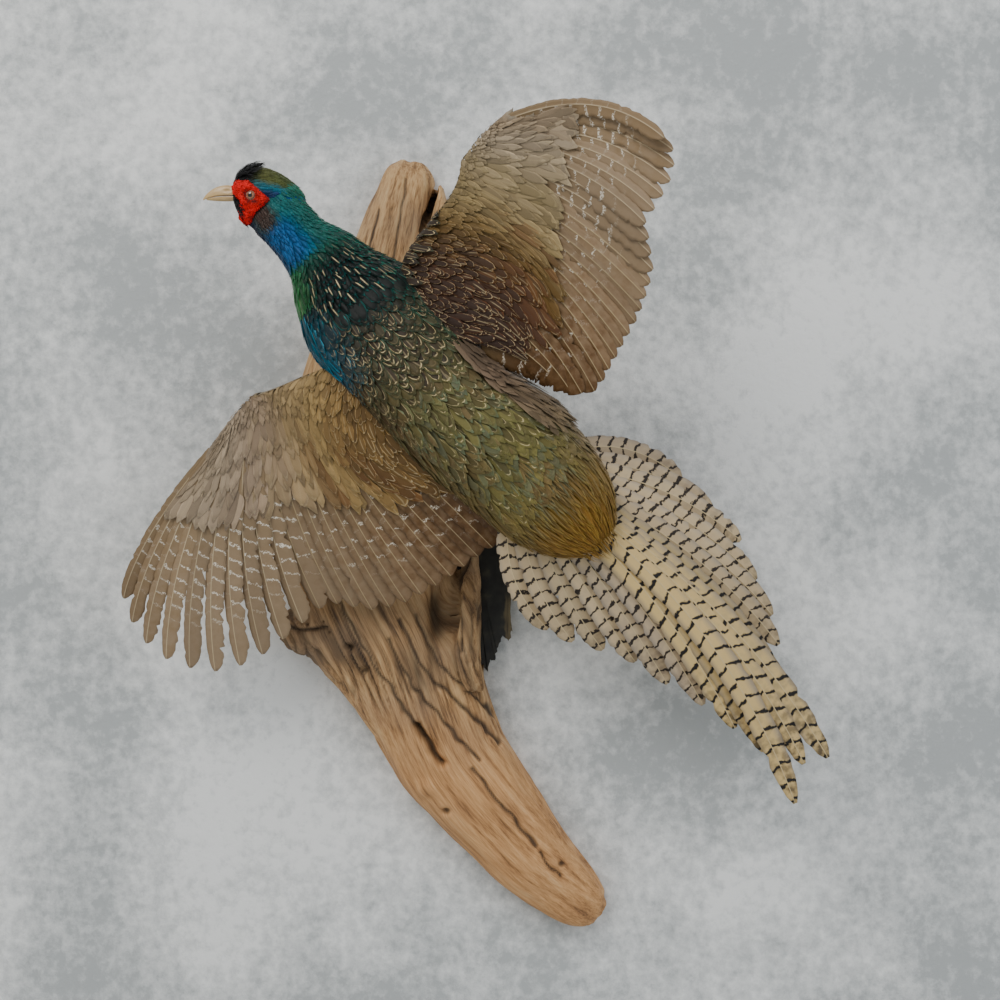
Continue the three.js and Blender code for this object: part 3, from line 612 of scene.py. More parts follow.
def merged(forms):
    """Points and faces of several forms as one set."""
    points, faces, start = [], [], 0
    for form_points, form_faces in forms:
        points.append(form_points)
        faces += [tuple(k + start for k in face) for face in form_faces]
        start += len(form_points)
    return np.concatenate(points), faces


def one_surface(name, forms, voxel, easing):
    """Joins closed forms into a single remeshed surface."""
    piece = mesh_object(name, *merged(forms))
    remesh = piece.modifiers.new("one surface", "REMESH")
    remesh.mode = "VOXEL"
    remesh.voxel_size = voxel * MM
    remesh.use_smooth_shade = True
    ease = piece.modifiers.new("eased", "SMOOTH")
    ease.factor = 0.5
    ease.iterations = easing
    return apply_modifiers(piece)


def build_skin():
    forms = [lofted(ringed(body_surface, along_body, -COAT)),
             lofted(ringed(head_surface, along_head, -1.6))]
    for side in (-1, 1):
        forms.append(lofted(ringed(thigh_surface(side), np.linspace(0, 1, 14), -COAT)))
    for layout in LAYOUT.values():
        forms.append(lofted(wing_rings(layout, -0.3)))
    return one_surface("skin", forms, 2.2, 5)


skin = build_skin()
print("skin:", len(skin.data.polygons), "faces")

# %% [markdown]
# ## Vanes
# Every feather here is a thin closed vane of its own, and all those of one tract are joined into
# one mesh that is filled in from arrays. A vane is laid out as a small grid: v runs from its root
# to its tip and u across it. The same maker serves the short feathers of the head and the long
# ones of the tail.

# %% Closed vanes from grids


LAYER_FIELD = {"FLOAT": "value", "FLOAT_VECTOR": "vector", "FLOAT_COLOR": "color"}


def write_layer(mesh, name, kind, values):
    """Gives every point of the mesh its value, which a material reads as an attribute."""
    layer = mesh.attributes.new(name, kind, "POINT")
    layer.data.foreach_set(LAYER_FIELD[kind], np.asarray(values, np.float32).reshape(-1))


def vane_faces(columns, rows):
    """Faces of one closed vane: a grid of rows + 1 by columns + 1 points above, and one below."""
    top = np.arange((rows + 1) * (columns + 1)).reshape(rows + 1, columns + 1)
    a, b, c, d = top[:-1, :-1], top[:-1, 1:], top[1:, 1:], top[1:, :-1]
    faces = [np.stack([a, b, c, d], -1).reshape(-1, 4),
             (np.stack([a, d, c, b], -1) + top.size).reshape(-1, 4)]
    rim = np.concatenate([top[0, :], top[1:, -1], top[-1, -2::-1], top[-2:0:-1, 0]])
    after = np.roll(rim, -1)
    faces.append(np.stack([rim, rim + top.size, after + top.size, after], -1))
    return np.concatenate(faces)


def joined_vanes(name, above, below, uv, bake, columns, rows, **per_point):
    """One mesh of many vanes. above, below: count x rows + 1 x columns + 1 x 3, in millimetres.
    uv and bake: the same grid x 2. per_point: named numbers (count x grid) or colours (x 3)."""
    count = len(above)
    faces = vane_faces(columns, rows)
    grid = (rows + 1) * (columns + 1)
    points = np.concatenate([above.reshape(count, grid, 3), below.reshape(count, grid, 3)], axis=1) * MM
    quads = (faces[None] + (np.arange(count) * 2 * grid)[:, None, None]).reshape(-1, 4)
    first = points[:, faces[0]]
    turn = np.einsum("ij,ij->i", np.cross(first[:, 1] - first[:, 0], first[:, 3] - first[:, 0]),
                     points[:, 0] - points[:, grid]) < 0
    quads = quads.reshape(count, -1, 4)
    quads[turn] = quads[turn][:, :, ::-1]
    quads = quads.reshape(-1, 4)
    mesh = bpy.data.meshes.new(name)
    mesh.vertices.add(count * 2 * grid)
    mesh.vertices.foreach_set("co", points.reshape(-1))
    mesh.loops.add(quads.size)
    mesh.loops.foreach_set("vertex_index", quads.reshape(-1))
    mesh.polygons.add(len(quads))
    mesh.polygons.foreach_set("loop_start", np.arange(0, quads.size, 4))
    mesh.polygons.foreach_set("use_smooth", np.ones(len(quads), bool))

    def doubled(values, width):
        values = np.broadcast_to(values, above.shape[:3] + ((width,) if width > 1 else ()))
        flat = values.reshape(count, grid, width)
        return np.concatenate([flat, flat], axis=1).reshape(-1, width)

    for key, values in (("vane", uv), ("OFBake", bake)):
        layer = mesh.uv_layers.new(name=key)
        layer.data.foreach_set("uv", doubled(values, 2)[quads.reshape(-1)].astype(np.float32).reshape(-1))
    for key, values in per_point.items():
        if values.ndim == 4:
            opaque = np.ones((count * 2 * grid, 1))
            write_layer(mesh, key, "FLOAT_COLOR", np.concatenate([doubled(values, 3), opaque], axis=1))
        else:
            write_layer(mesh, key, "FLOAT", doubled(values, 1))
    mesh.update(calc_edges=True)
    mesh.validate()
    return add_object(name, mesh)


# %% [markdown]
# ## Flight feathers
# A remex has a narrow vane on its leading side and a wide one behind its shaft. In the spread wing
# each lies with its leading vane over the next feather outwards, so the innermost is on top. The
# rows of the grid slant towards the tip as the barbs do, so that splits and worn tips follow them.

# %% Long feathers
LONG_ROWS = 44
BARB_SLANT = 0.5        # how far a barb runs towards the tip for each millimetre outwards
SHAFT_ROOT, SHAFT_TIP = 1.3, 0.35
LONG_THICK = 0.35


def worn_edge(count, amount):
    """Share of the vane's width left along each edge: fine raggedness and a few split barbs."""
    ragged = 1 - amount * rng.random((count, LONG_ROWS + 1)) ** 2
    for row in ragged:
        for at in rng.integers(8, LONG_ROWS - 3, 3):
            row[at] -= rng.uniform(0.08, 0.3)
    return ragged


def long_feathers(name, root, control, tip, start, leading, trailing, up, side, round_from, shingle,
                  bake_at):
    """Flight or tail feathers. leading, trailing: vane widths in mm. up: direction of the upper
    face. side: vectors towards each feather's leading edge. shingle: mm that it is raised there."""
    count = len(root)
    v = np.linspace(0, 1, LONG_ROWS + 1)
    t = start[:, None] + (1 - start[:, None]) * v
    fine = np.linspace(0, 1, 60)
    line = bezier(root[:, None], control[:, None], tip[:, None], fine[None, :, None])
    run = np.concatenate([np.zeros((count, 1)), np.cumsum(np.linalg.norm(np.diff(line, axis=1), axis=2),
            axis=1)], 1)
    length = run[:, -1]
    tipward = np.clip((v - round_from) / (1 - round_from), 0, 1)
    width = np.sqrt(1 - 0.97 * tipward**2) * np.interp(v, [0, 0.25, 0.6, 1], [0.8, 1, 1, 0.94])
    lead = leading[:, None] * width * worn_edge(count, 0.14)
    trail = trailing[:, None] * width * worn_edge(count, 0.2)
    shaft = np.interp(v, [0, 1], [SHAFT_ROOT, SHAFT_TIP])[None, :] + 0 * lead
    x = np.stack([-trail, -0.7 * trail, -0.4 * trail, -1.5 * shaft, -0.5 * shaft, 0 * shaft,
                  0.5 * shaft, 1.5 * shaft, 0.55 * lead, lead], axis=-1)
    slant = BARB_SLANT * np.abs(x) / length[:, None, None] * (1 - 0.85 * tipward[None, :, None])
    place = np.clip(t[..., None] + slant, 0, 1.02)
    centre = bezier(root[:, None, None], control[:, None, None], tip[:, None, None], place[..., None])
    ahead = bezier(root[:, None, None], control[:, None, None], tip[:, None, None],
                   place[..., None] + 0.01)
    along = unit(ahead - centre)
    up = np.broadcast_to(up, (count, 3))[:, None, None]
    across = unit(np.cross(up, along))
    across = across * np.sign(np.einsum("nijk,nk->nij", across, side)[:, :1, :1, None])
    raised = shingle[:, None, None] * x / 12 - 0.004 * x**2 + np.interp(np.abs(x), [0, 0.6, 1.4],
            [0.5, 0.15, 0])
    flutter = rng.uniform(-0.5, 0.5, (count, 1, 1)) * v[None, :, None]
    wave = np.sin(v * rng.uniform(20, 34, (count, 1)) + rng.uniform(0, 6, (count, 1)))
    ripple = 0.25 * wave[..., None] * np.abs(x) / 12
    middle = centre + across * x[..., None] + up * (raised + flutter + ripple)[..., None]
    half = LONG_THICK / 2 * np.interp(np.abs(x), [0, 2, 12], [1.6, 1, 0.5])
    from_tip = (1 - place) * length[:, None, None]
    uv = np.stack([0.5 + x / 40, from_tip / 400], axis=-1)
    bake = np.stack([bake_at[:, 0, None, None] + (x + 18) / 36 * bake_at[:, 2, None, None],
                     bake_at[:, 1, None, None] + v[None, :, None] * bake_at[:, 3, None, None] + 0 * x],
                    axis=-1)
    tint = rng.random((count, 1, 1)) + 0 * x
    number = np.arange(count)[:, None, None] / max(1, count - 1) + 0 * x
    return joined_vanes(name, middle + up * half[..., None], middle - up * half[..., None], uv, bake,
                        x.shape[-1] - 1, LONG_ROWS, tint=tint, number=number,
                        reach=v[None, :, None] + 0 * x)


def strips(count):
    """A strip of the baking map for each of a row of feathers: corner and size."""
    width = 0.96 / count
    return np.stack([0.02 + np.arange(count) * width, np.full(count, 0.02),
                     np.full(count, width * 0.85), np.full(count, 0.96)], axis=1)


def row_sides(root, control, tip):
    """Direction from each feather towards the next, near a third of the way along."""
    at = bezier(root, control, tip, 0.3)
    step = np.gradient(at, axis=0)
    return unit(step)


def build_remiges(label):
    layout = LAYOUT[label]
    order = np.arange(WING_FEATHERS)
    lead = np.interp(order, [0, 6, 13, 14, 19, 23], [9, 8, 7, 6.5, 6, 5.5])
    trail = np.interp(order, [0, 3, 13, 14, 19, 23], [15, 17, 16, 15, 12.5, 10])
    side = row_sides(layout["root"], layout["control"], layout["tip"])
    start = layout["start"] - np.interp(order, [0, 20, 23], [0.24, 0.24, 0.35])
    pieces = []
    for part, name in ((order < INNER_FEATHERS, "secondaries"), (order >= INNER_FEATHERS, "primaries")):
        piece = long_feathers(f"wing_{label}_{name}_vanes", layout["root"][part], layout["control"][part],
                              layout["tip"][part], start[part], lead[part], trail[part], layout["normal"],
                              side[part], 0.84, np.full(part.sum(), 0.9), strips(part.sum()))
        pieces.append((piece, f"wing_{label}_{name}"))
    return pieces


remiges = build_remiges("left") + build_remiges("right")
print("flight feathers:", faces_of(remiges))

# %% [markdown]
# ## Tail
# Nine pairs of tail feathers spread from one root. The two longest lie on top in the middle, and
# each of the others slips under its neighbour towards the middle.

# %% The tail fan
TAIL_TOP = 8.5          # place in the row of the topmost feathers
TAIL_STEP = 0.55


def build_tail():
    root, control, tip = tail_layout()
    order = np.arange(len(TAIL))
    below = np.abs(order - TAIL_TOP)[:, None] * TAIL_STEP
    root, control, tip = (points - TOWARDS_VIEWER * below for points in (root, control, tip))
    outward = np.where(order < TAIL_TOP, -1, 1)
    side = row_sides(root, control, tip) * outward[:, None]
    half = np.interp(order, [0, 5, 8, 11, 17], [13, 15, 14.5, 15, 13])
    groups = ((0, 6, "tail_left"), (6, 12, "tail_centre"), (12, 18, "tail_right"))
    pieces = []
    for first, end, name in groups:
        part = slice(first, end)
        piece = long_feathers(name + "_vanes", root[part], control[part], tip[part],
                              np.full(end - first, 0.03), half[part] * 0.82, half[part], TOWARDS_VIEWER,
                              side[part], 0.8, np.full(end - first, 0.8), strips(end - first))
        pieces.append((piece, name))
    return pieces


rectrices = build_tail()
print("tail feathers:", faces_of(rectrices))

# %% [markdown]
# ## Contour feathers
# The body is clothed in short overlapping feathers, in rows like tiles. They are smallest on the
# face and grow down the neck and the back. Each is laid out along the skin's own lines from its
# root backwards, then drawn to the skin, so that it lies close and never floats.

# %% The skin as a tree of faces
ON_SKIN, OFF_SKIN = 5.0, 11.0      # mm from the skin: nearer than this it is followed, beyond it left
skin_tree = BVHTree.FromObject(skin, bpy.context.evaluated_depsgraph_get())


def to_skin(points):
    """Points drawn to the skin where it is near, its direction there, and how far it is followed."""
    flat = points.reshape(-1, 3)
    found, normals = np.empty_like(flat), np.empty_like(flat)
    for i, point in enumerate(flat):
        hit, normal, _, _ = skin_tree.find_nearest(Vector(point * MM))
        found[i], normals[i] = hit, normal
    found = (found / MM).reshape(points.shape)
    normals = normals.reshape(points.shape)
    away = np.linalg.norm(points - found, axis=-1, keepdims=True)
    follow = 1 - smooth(ON_SKIN, OFF_SKIN, away)
    return found * follow + points * (1 - follow), normals, follow


print("feathers follow the skin within", ON_SKIN, "mm")

# %% A tract of feathers
# place from root to tip, and share of the full width there
LEAF_WIDTH = {
    "round": ([0, 0.12, 0.35, 0.62, 0.82, 0.94, 1], [0.3, 0.66, 0.95, 1, 0.84, 0.52, 0.12]),
    "lance": ([0, 0.15, 0.4, 0.65, 0.85, 1], [0.35, 0.8, 1, 0.82, 0.46, 0.06]),
    "hair": ([0, 0.1, 0.5, 0.85, 1], [0.5, 1, 0.85, 0.5, 0.05]),
}


def coat(name, surface, p, q, length, half, colour, shape="round", columns=4, rows=5, lift=(0.3, 2.2),
         yaw=0.1, slant=0.35, least=(1.0, 1.0), thick=0.22, follow_skin=True, fray=0.12,
         bake_span=((0, 12), (0, FULL)), marks=None, edge=None):
    """A tract of feathers rooted at (p, q) of surface(p, q, lift), which runs back along p.
    least: the fewest millimetres that one unit of p and of q may stand for. yaw: how far feathers
    turn from the row. slant: how far barbs run back. fray: share of the width lost at the edge."""
    count = len(p)
    length, half = (np.broadcast_to(np.asarray(values, float), (count,))[:, None, None]
                    for values in (length, half))
    step = 0.02
    zero = np.zeros(count)
    at = surface(p, q, zero)
    along_step = surface(p + step, q, zero) - at
    aside_step = (surface(p, q + step, zero) - surface(p, q - step, zero)) / 2
    per_p = np.maximum(np.linalg.norm(along_step, axis=1) / step, least[0])[:, None, None]
    per_q = np.maximum(np.linalg.norm(aside_step, axis=1) / step, least[1])[:, None, None]
    v = np.linspace(0, 1, rows + 1)[None, :, None]
    u = np.linspace(-1, 1, columns + 1)[None, None, :]
    width = np.interp(v, *LEAF_WIDTH[shape]) * (1 - fray * rng.random((count, rows + 1,
            columns + 1)) * np.abs(u) ** 3)
    x = u * half * width
    y = v * length + slant * np.abs(x) * (1 - 0.5 * v)
    turn = rng.normal(0, yaw, (count, 1, 1))
    back = y * np.cos(turn) - x * np.sin(turn)
    aside = y * np.sin(turn) + x * np.cos(turn)
    p_grid = p[:, None, None] + back / per_p
    q_grid = q[:, None, None] + aside / per_q
    rise = lift[0] + (lift[1] - lift[0]) * v ** 1.2 + rng.uniform(-0.25, 0.35, (count, 1, 1)) * v
    rise = rise * np.clip(length / 12, 0.45, 1.3)
    middle = surface(p_grid, q_grid, rise - COAT * follow_skin)
    out = surface(p_grid, q_grid, rise + 1 - COAT * follow_skin) - middle
    if follow_skin:
        base, normals, follow = to_skin(surface(p_grid, q_grid, 0 * rise - COAT))
        middle = (base + normals * rise[..., None]) * follow + middle * (1 - follow)
        out = normals * follow + unit(out) * (1 - follow)
    out = unit(out)
    half_thick = thick / 2 * (1 - 0.6 * np.abs(u) ** 2)[..., None]
    uv = np.stack([0.5 + 0.5 * (u + 0 * x) * width, v + 0 * x], axis=-1)
    (p0, p1), (q0, q1) = bake_span
    patch = np.stack([(p - p0) / (p1 - p0), (q - q0) / (q1 - q0)], axis=-1).clip(0, 1) * 0.99 + 0.002
    bake = patch[:, None, None] + 0.003 * np.stack([0.5 + 0.5 * u + 0 * x, v + 0 * x], axis=-1)
    ground = np.broadcast_to(colour(p, q)[:, None, None], x.shape + (3,))
    rim = np.broadcast_to((edge or colour)(p, q)[:, None, None], x.shape + (3,))
    tint = rng.random((count, 1, 1)) + 0 * x
    marked = (np.ones(count) if marks is None else marks(p, q))[:, None, None] + 0 * x
    return joined_vanes(name, middle + out * half_thick, middle - out * half_thick, uv, bake, columns,
                        rows, tint=tint, ground=ground, rim=rim, marks=marked)


# %% Roots in rows


def rows_of(surface, p_from, p_to, spacing, q_from, q_to, keep=None):
    """Roots in staggered rows: spacing(p) in mm along and across, q between q_from and q_to."""
    p_all, q_all, p, row = [], [], p_from, 0
    span = np.linspace(q_from, q_to, 40)
    while p < p_to:
        gap = spacing(p)
        ring = surface(np.full(40, p), span, np.zeros(40))
        run = np.concatenate([[0], np.cumsum(np.linalg.norm(np.diff(ring, axis=0), axis=1))])
        count = max(3, int(round(run[-1] / gap)))
        places = (np.arange(count) + 0.5 * (row % 2) + rng.uniform(-0.22, 0.22, count)) / count
        p_all.append(p + rng.uniform(-0.25, 0.25, count) * gap / 40)
        q_all.append(np.interp(places * run[-1], run, span))
        ahead = surface(np.full(40, p + 0.02), span, np.zeros(40)) - ring
        p += gap / max(np.percentile(np.linalg.norm(ahead, axis=1) / 0.02, 70), 1)
        row += 1
    p_all, q_all = np.concatenate(p_all), np.concatenate(q_all)
    if keep is not None:
        kept = keep(p_all, q_all)
        p_all, q_all = p_all[kept], q_all[kept]
    return p_all, q_all


# %% [markdown]
# ## Colours of the plumage
# A cock's plumage changes along the spine and round the body: blue and green on the neck, black
# shoulders, laced mantle, olive back, tawny rump. A painted picture could be wrapped over the
# skin. Here each feather asks a function for its colour where it grows, so every feather is whole
# in its own tone, as a real one is. The first set is the ground, the second the rim.

# %% Colours between stations


def tone(text):
    """Function of a number that gives linear colours between stops such as '0 12ab34, 1 56cd78'."""
    places, codes = zip(*stops_of(text))
    colours = np.array([rgb(code) for code in codes])
    return lambda x: np.stack([np.interp(x, places, colours[:, k]) for k in range(3)], axis=-1)


def plain(code):
    """One colour for all the feathers of a tract."""
    return lambda s, q: np.tile(rgb(code), (len(s), 1))


def blend(a, b, share):
    return a * (1 - share[..., None]) + b * share[..., None]


def near_angle(q, centre, width):
    """1 at the angle centre, falling to 0 at width from it."""
    turn = np.abs((q - centre + math.pi) % FULL - math.pi)
    return 1 - smooth(0, width, turn)


# %% Tones along the body
# Along the body, in stations of the spine from behind the head to the tail coverts.
BACK_TONE = tone("-0.5 126060, 0.3 105c5a, 1.8 125550, 2.3 123f34, 2.8 0a1210, 4.6 0d1310, "
                 "5.2 35301f, 6.4 4c4628, 7.3 5f5c36, 8.6 6c672f, 9.6 756130, 10.4 7a561c, 12 8a6222")
LEFT_TONE = tone("-0.5 12142c, 0.8 121838, 1.8 153a5c, 2.2 1c6a3a, 3.2 2a7436, 3.6 0d1b1c, "
                 "4.3 0f5668, 5.2 165f78, 5.8 46361f, 6.4 5a4526, 8.0 705b38, 10.0 7a5d2c, 12 8a6222")
RIGHT_TONE = tone("-0.5 1c5f4e, 1.5 155349, 2.4 0f3f38, 3.2 0c2620, 4.4 0b1b17, 5.4 1c3a30, "
                  "6.8 3c4c38, 7.8 7c6852, 9.2 836c50, 9.9 785f34, 12 8a6222")
BELLY_TONE = tone("0 141238, 1.5 0f2a33, 4 0d3029, 7 13241c, 9 1c1812, 10.5 3a2c1a, 12 6e5227")
BACK_RIM = tone("-0.5 1f8c92, 0.5 187c7e, 1.9 1c8068, 2.4 17604c, 3.0 125450, 4.4 14655f, "
                "5.0 2c665a, 5.8 5c7056, 7.0 747f54, 7.8 727a44, 8.8 84803c, 9.8 96782e, 12 a17a2e")
LEFT_RIM = tone("-0.5 1c2250, 0.8 1c3878, 1.8 1f6a90, 2.2 3a9656, 3.2 52ac50, 3.7 17607a, "
                "4.4 2597bc, 5.3 2fb0d4, 6.0 56684c, 6.6 66704c, 8.0 8a7a4c, 10.0 96783a, 12 a17a2e")
RIGHT_RIM = tone("-0.5 2c9a78, 1.4 239a80, 3.0 1c967a, 4.6 189072, 5.6 2f8a68, 6.8 5f7a5a, "
                 "7.8 94806c, 9.2 a08a6c, 10.2 967c40, 12 a17a2e")


# %% Tones round the body


def round_body(back, left, right, belly):
    """Colour over the body's stations and angle from four colours along its length."""

    def colour(s, q):
        mixed = blend(back(s), left(s), near_angle(q, 0.1, 1.15))
        mixed = blend(mixed, right(s), near_angle(q, math.pi - 0.1, 1.15))
        return blend(mixed, belly(s), near_angle(q, 1.5 * math.pi, 1.5))

    return colour


def patch_of(colour, code, s_range, centre, width):
    """The colour with a patch of another between two stations, round one angle."""
    fresh = rgb(code)

    def patched(s, q):
        start, end = s_range
        between = smooth(start - 0.5, start + 0.3, s) * (1 - smooth(end - 0.3, end + 0.5, s))
        share = between * near_angle(q, centre, width)
        return blend(colour(s, q), fresh, np.minimum(share * 1.5, 1))

    return patched


def mottled(colour, codes):
    """Feathers of the lower back differ: patches of moss green, grey teal and brown."""
    tones = np.array([rgb(code) for code in codes])

    def patched(s, q):
        wave = 0.5 * np.sin(2.7 * s + 2.1 * np.sin(3 * q + s)) + 0.5 * np.sin(4.3 * q - 1.9 * s)
        pick = np.clip((wave + 1) / 2 + rng.uniform(-0.35, 0.35, np.shape(s)), 0, 0.999)
        chosen = tones[(pick * len(tones)).astype(int)]
        share = 0.6 * smooth(5.6, 7.2, s) * (1 - smooth(9.4, 10.4, s)) * near_angle(q, math.pi / 2, 2.6)
        return blend(colour(s, q), chosen, share)

    return patched


body_colour = round_body(BACK_TONE, LEFT_TONE, RIGHT_TONE, BELLY_TONE)
# The neck twists: near the head its two sides face the viewer and the wall.
for side in (1.05, FULL - 1.05):
    body_colour = patch_of(body_colour, "0f5286", (0.3, 1.8), side, 1.1)
    body_colour = patch_of(body_colour, "40342e", (-1.2, 0.0), side, 0.75)
body_colour = mottled(body_colour, ("5c5332", "6e6638", "5a6250", "6e5638"))
body_rim = round_body(BACK_RIM, LEFT_RIM, RIGHT_RIM,
                      tone("0 26306a, 3 1f6a6c, 7 1f4a36, 9 33291c, 12 8a6a35"))
for side in (1.05, FULL - 1.05):
    body_rim = patch_of(body_rim, "1870ae", (0.3, 1.8), side, 1.1)
    body_rim = patch_of(body_rim, "5c4d44", (-1.2, 0.0), side, 0.75)
body_rim = mottled(body_rim, ("77693c", "84794a", "6d7a64", "806848"))
print("ground of the back at station 6:", BACK_TONE(6.0).round(3), "rim:", BACK_RIM(6.0).round(3))

# %% Colours of the head
CROWN_TONE = tone("0 08080a, 1.9 0a0b0b, 2.3 2a3018, 2.8 50522a, 4.0 4a522a, 4.8 3a5430, 5.8 1c5a48")
CHEEK_TONE = tone("0 0a0b0e, 1.2 0b0d12, 2.2 0e1a26, 3.6 132f5a, 4.4 145098, 6 123b7c")
THROAT_TONE = tone("0 09090b, 2.4 0d0c17, 4.0 141238, 6 141238")


def head_colour(s, q):
    """s counts stations back from the bill; q is 0 at the bird's left and pi/2 at the crown."""
    rise = np.sin(q)
    teal_brow = tone("0 0b0d10, 1.4 143038, 2.2 1a5c68, 4.0 1c7080, 6 1c6a5a")(s)
    colour = blend(CHEEK_TONE(s), teal_brow, smooth(0.1, 0.4, rise))
    colour = blend(colour, CROWN_TONE(s), smooth(0.34, 0.6, rise))
    local = head_local(s, q, np.zeros_like(s))
    ear = 1 - smooth(0.6, 1.1, np.hypot((local[..., 0] + 9) / 13, (local[..., 2] + 15) / 10))
    colour = blend(colour, rgb("40342e"), ear * (np.abs(np.cos(q)) > 0.3))
    return blend(colour, THROAT_TONE(s), smooth(-0.45, -0.8, rise))


def head_rim(s, q):
    return np.minimum(head_colour(s, q) * 1.9 + 0.004, 1)


print("colour of the cheek:", head_colour(np.array([3.0]), np.array([0.0])).round(3))

# %% [markdown]
# ## Feathers of the head and neck
# The head is clothed in tiny pointed feathers, shorter than a fingernail, with hair-thin plumes
# on the crown and the chin. Hair strands could stand for them, but a glTF file holds only meshes,
# so each is a small vane. None grows on the bare red face, whose outline is needed here first.

# %% Outline of the bare face
# Outline of the bare red face: x towards the bill and z towards the crown, in the head's frame.
WATTLE = np.array([[27, 9], [22.5, 14.4], [10, 13.8], [-10, -3.7], [3.7, -14.7], [9.8, -24.8],
                   [15.6, -26.2], [21.5, -20.5], [22, -12.9], [18.6, -4.4], [25.5, 2.5]])


def inside(outline, x, z):
    """Whether points lie inside a closed outline."""
    hit = np.zeros(np.shape(x), bool)
    for (x0, z0), (x1, z1) in zip(outline, np.roll(outline, -1, axis=0)):
        crosses = (z0 > z) != (z1 > z)
        hit ^= crosses & (x < (x1 - x0) * (z - z0) / (z1 - z0 + 1e-9) + x0)
    return hit


def off_face(s, q):
    """Whether places on the head lie off the bare face and behind the bill."""
    local = head_local(s, q, np.zeros_like(s))
    bare = inside(WATTLE, local[..., 0] + 0.5, local[..., 2]) & (np.abs(np.cos(q)) > 0.25)
    return ~bare & (local[..., 0] < 27)


# %% Feathers of the head
# what the small feathers of the head have in common
SMALL = {"shape": "lance", "columns": 2, "thick": 0.16, "bake_span": ((0, 6), (0, FULL))}
head_p, head_q = rows_of(head_surface, 0.15, 5.4, lambda s: 1.7 + 0.28 * s, 0, FULL, off_face)
head_size = np.interp(head_p, [0, 1, 2.5, 5.4], [3.2, 4.6, 7.5, 12])
head_coat = coat("head_feathers", head_surface, head_p, head_q, head_size, head_size * 0.22, head_colour,
                 rows=3, lift=(0.2, 1.4), edge=head_rim, **SMALL)
crest_p, crest_q = rows_of(head_surface, 0.7, 2.2, lambda s: 2.0, math.pi / 2 - 0.75, math.pi / 2 + 0.75)
crest_coat = coat("crest_wisps", head_surface, crest_p, crest_q, np.interp(crest_p, [0.7, 2.2], [7, 13]),
                  0.8, plain("08080a"), rows=4, lift=(0.6, 4.2), yaw=0.3, follow_skin=False, **SMALL)
chin_p, chin_q = rows_of(head_surface, 0.2, 1.5, lambda s: 1.5, math.pi + 0.45, FULL - 0.45, off_face)
chin_coat = coat("chin_bristles", head_surface, chin_p, chin_q, np.interp(chin_p, [0.2, 1.5], [6.5, 8.5]),
                 0.9, plain("0a090b"), rows=4, lift=(0.5, 2.6), yaw=0.3, follow_skin=False, **SMALL)
print("head feathers:", len(head_p), "crest:", len(crest_p), "chin:", len(chin_p))

# %% [markdown]
# ## Feathers of the body
# From the neck to the tail the feathers grow from 1 to 5 centimetres. On the mantle each is broad
# with a cream line inside its rim. On the back they are loose and frayed, and on the rump they are
# like hair. One long tract could hold them all, but each kind has its own shape, lift and finish.

# %% Marks and the neck


def back_marks(s, q):
    """Lacing is full on the mantle, missing on the black shoulders and patchy on the lower back."""
    unlaced = rng.uniform(0, 1, np.shape(s)) > np.interp(s, [4.5, 7, 9], [0.75, 0.62, 0.3])
    fade = smooth(4.5, 5.4, s + 0.5 * np.cos(q))
    return near_angle(q, math.pi / 2, 2.2) * fade * np.where(unlaced, 0.12, 1.0)


neck_p, neck_q = rows_of(body_surface, -0.5, 4.7, lambda s: 3.2 + 0.8 * max(s, 0), 0, FULL)
neck_size = np.interp(neck_p, [0, 2, 4.7], [11, 16, 24])
neck_coat = coat("neck_feathers", body_surface, neck_p, neck_q, neck_size, neck_size * 0.23, body_colour,
                 shape="lance", columns=2, rows=4, lift=(0.3, 2.0), edge=body_rim,
                 marks=lambda s, q: smooth(2.2, 3.0, s) * near_angle(q, 0.5 * math.pi, 1.6))

# %% The mantle and the plumes of the breast
mantle_p, mantle_q = rows_of(body_surface, 4.5, 6.9, lambda s: 6.4 + 0.8 * (s - 4.5), 0, FULL)
mantle_size = np.interp(mantle_p, [3.5, 5, 6.9], [20, 25, 31]) * rng.uniform(0.88, 1.12, len(mantle_p))
mantle_coat = coat("mantle_feathers", body_surface, mantle_p, mantle_q, mantle_size, mantle_size * 0.235,
                   body_colour, lift=(0.3, 3.2), yaw=0.15, fray=0.15, marks=back_marks, edge=body_rim)

# Slender bright plumes hang from the side of the breast over the root of the wing.
plume_p, plume_q = rows_of(body_surface, 3.9, 5.1, lambda s: 5.5, -0.75, 0.55)
plume_coat = coat("breast_plumes", body_surface, plume_p, plume_q, 30.0, 3.4, body_colour, shape="lance",
                  columns=2, rows=5, lift=(1.4, 3.6), yaw=0.12, edge=body_rim,
                  bake_span=((0, 12), (-1, FULL)), marks=lambda s, q: 0 * s)

# %% The back, flank and rump
back_p, back_q = rows_of(body_surface, 6.7, 9.4, lambda s: 7.2, 0, FULL)
back_size = np.interp(back_p, [6.7, 9.4], [33, 40])
back_coat = coat("back_feathers", body_surface, back_p, back_q, back_size, back_size * 0.165, body_colour,
                 lift=(0.3, 3.8), yaw=0.24, fray=0.55, marks=back_marks, edge=body_rim)

# Loose mauve-brown feathers of the flank spread over the root of the upper wing.
flank_p, flank_q = rows_of(body_surface, 6.8, 8.9, lambda s: 6.4, math.pi - 0.85, math.pi + 0.25)
FLANK_TONE = tone("6 4c4232, 7.2 6e5b49, 9 6f5f45")
flank_coat = coat("flank_feathers", body_surface, flank_p, flank_q,
                  36 * rng.uniform(0.75, 1.15, len(flank_p)), 4.2,
                  lambda s, q: FLANK_TONE(s) * rng.uniform(0.7, 1.15, np.shape(s))[..., None], columns=4,
                  rows=6, lift=(1.0, 4.6), yaw=0.14, fray=0.6, follow_skin=False,
                  edge=lambda s, q: np.minimum(FLANK_TONE(s) * 1.4, 1))

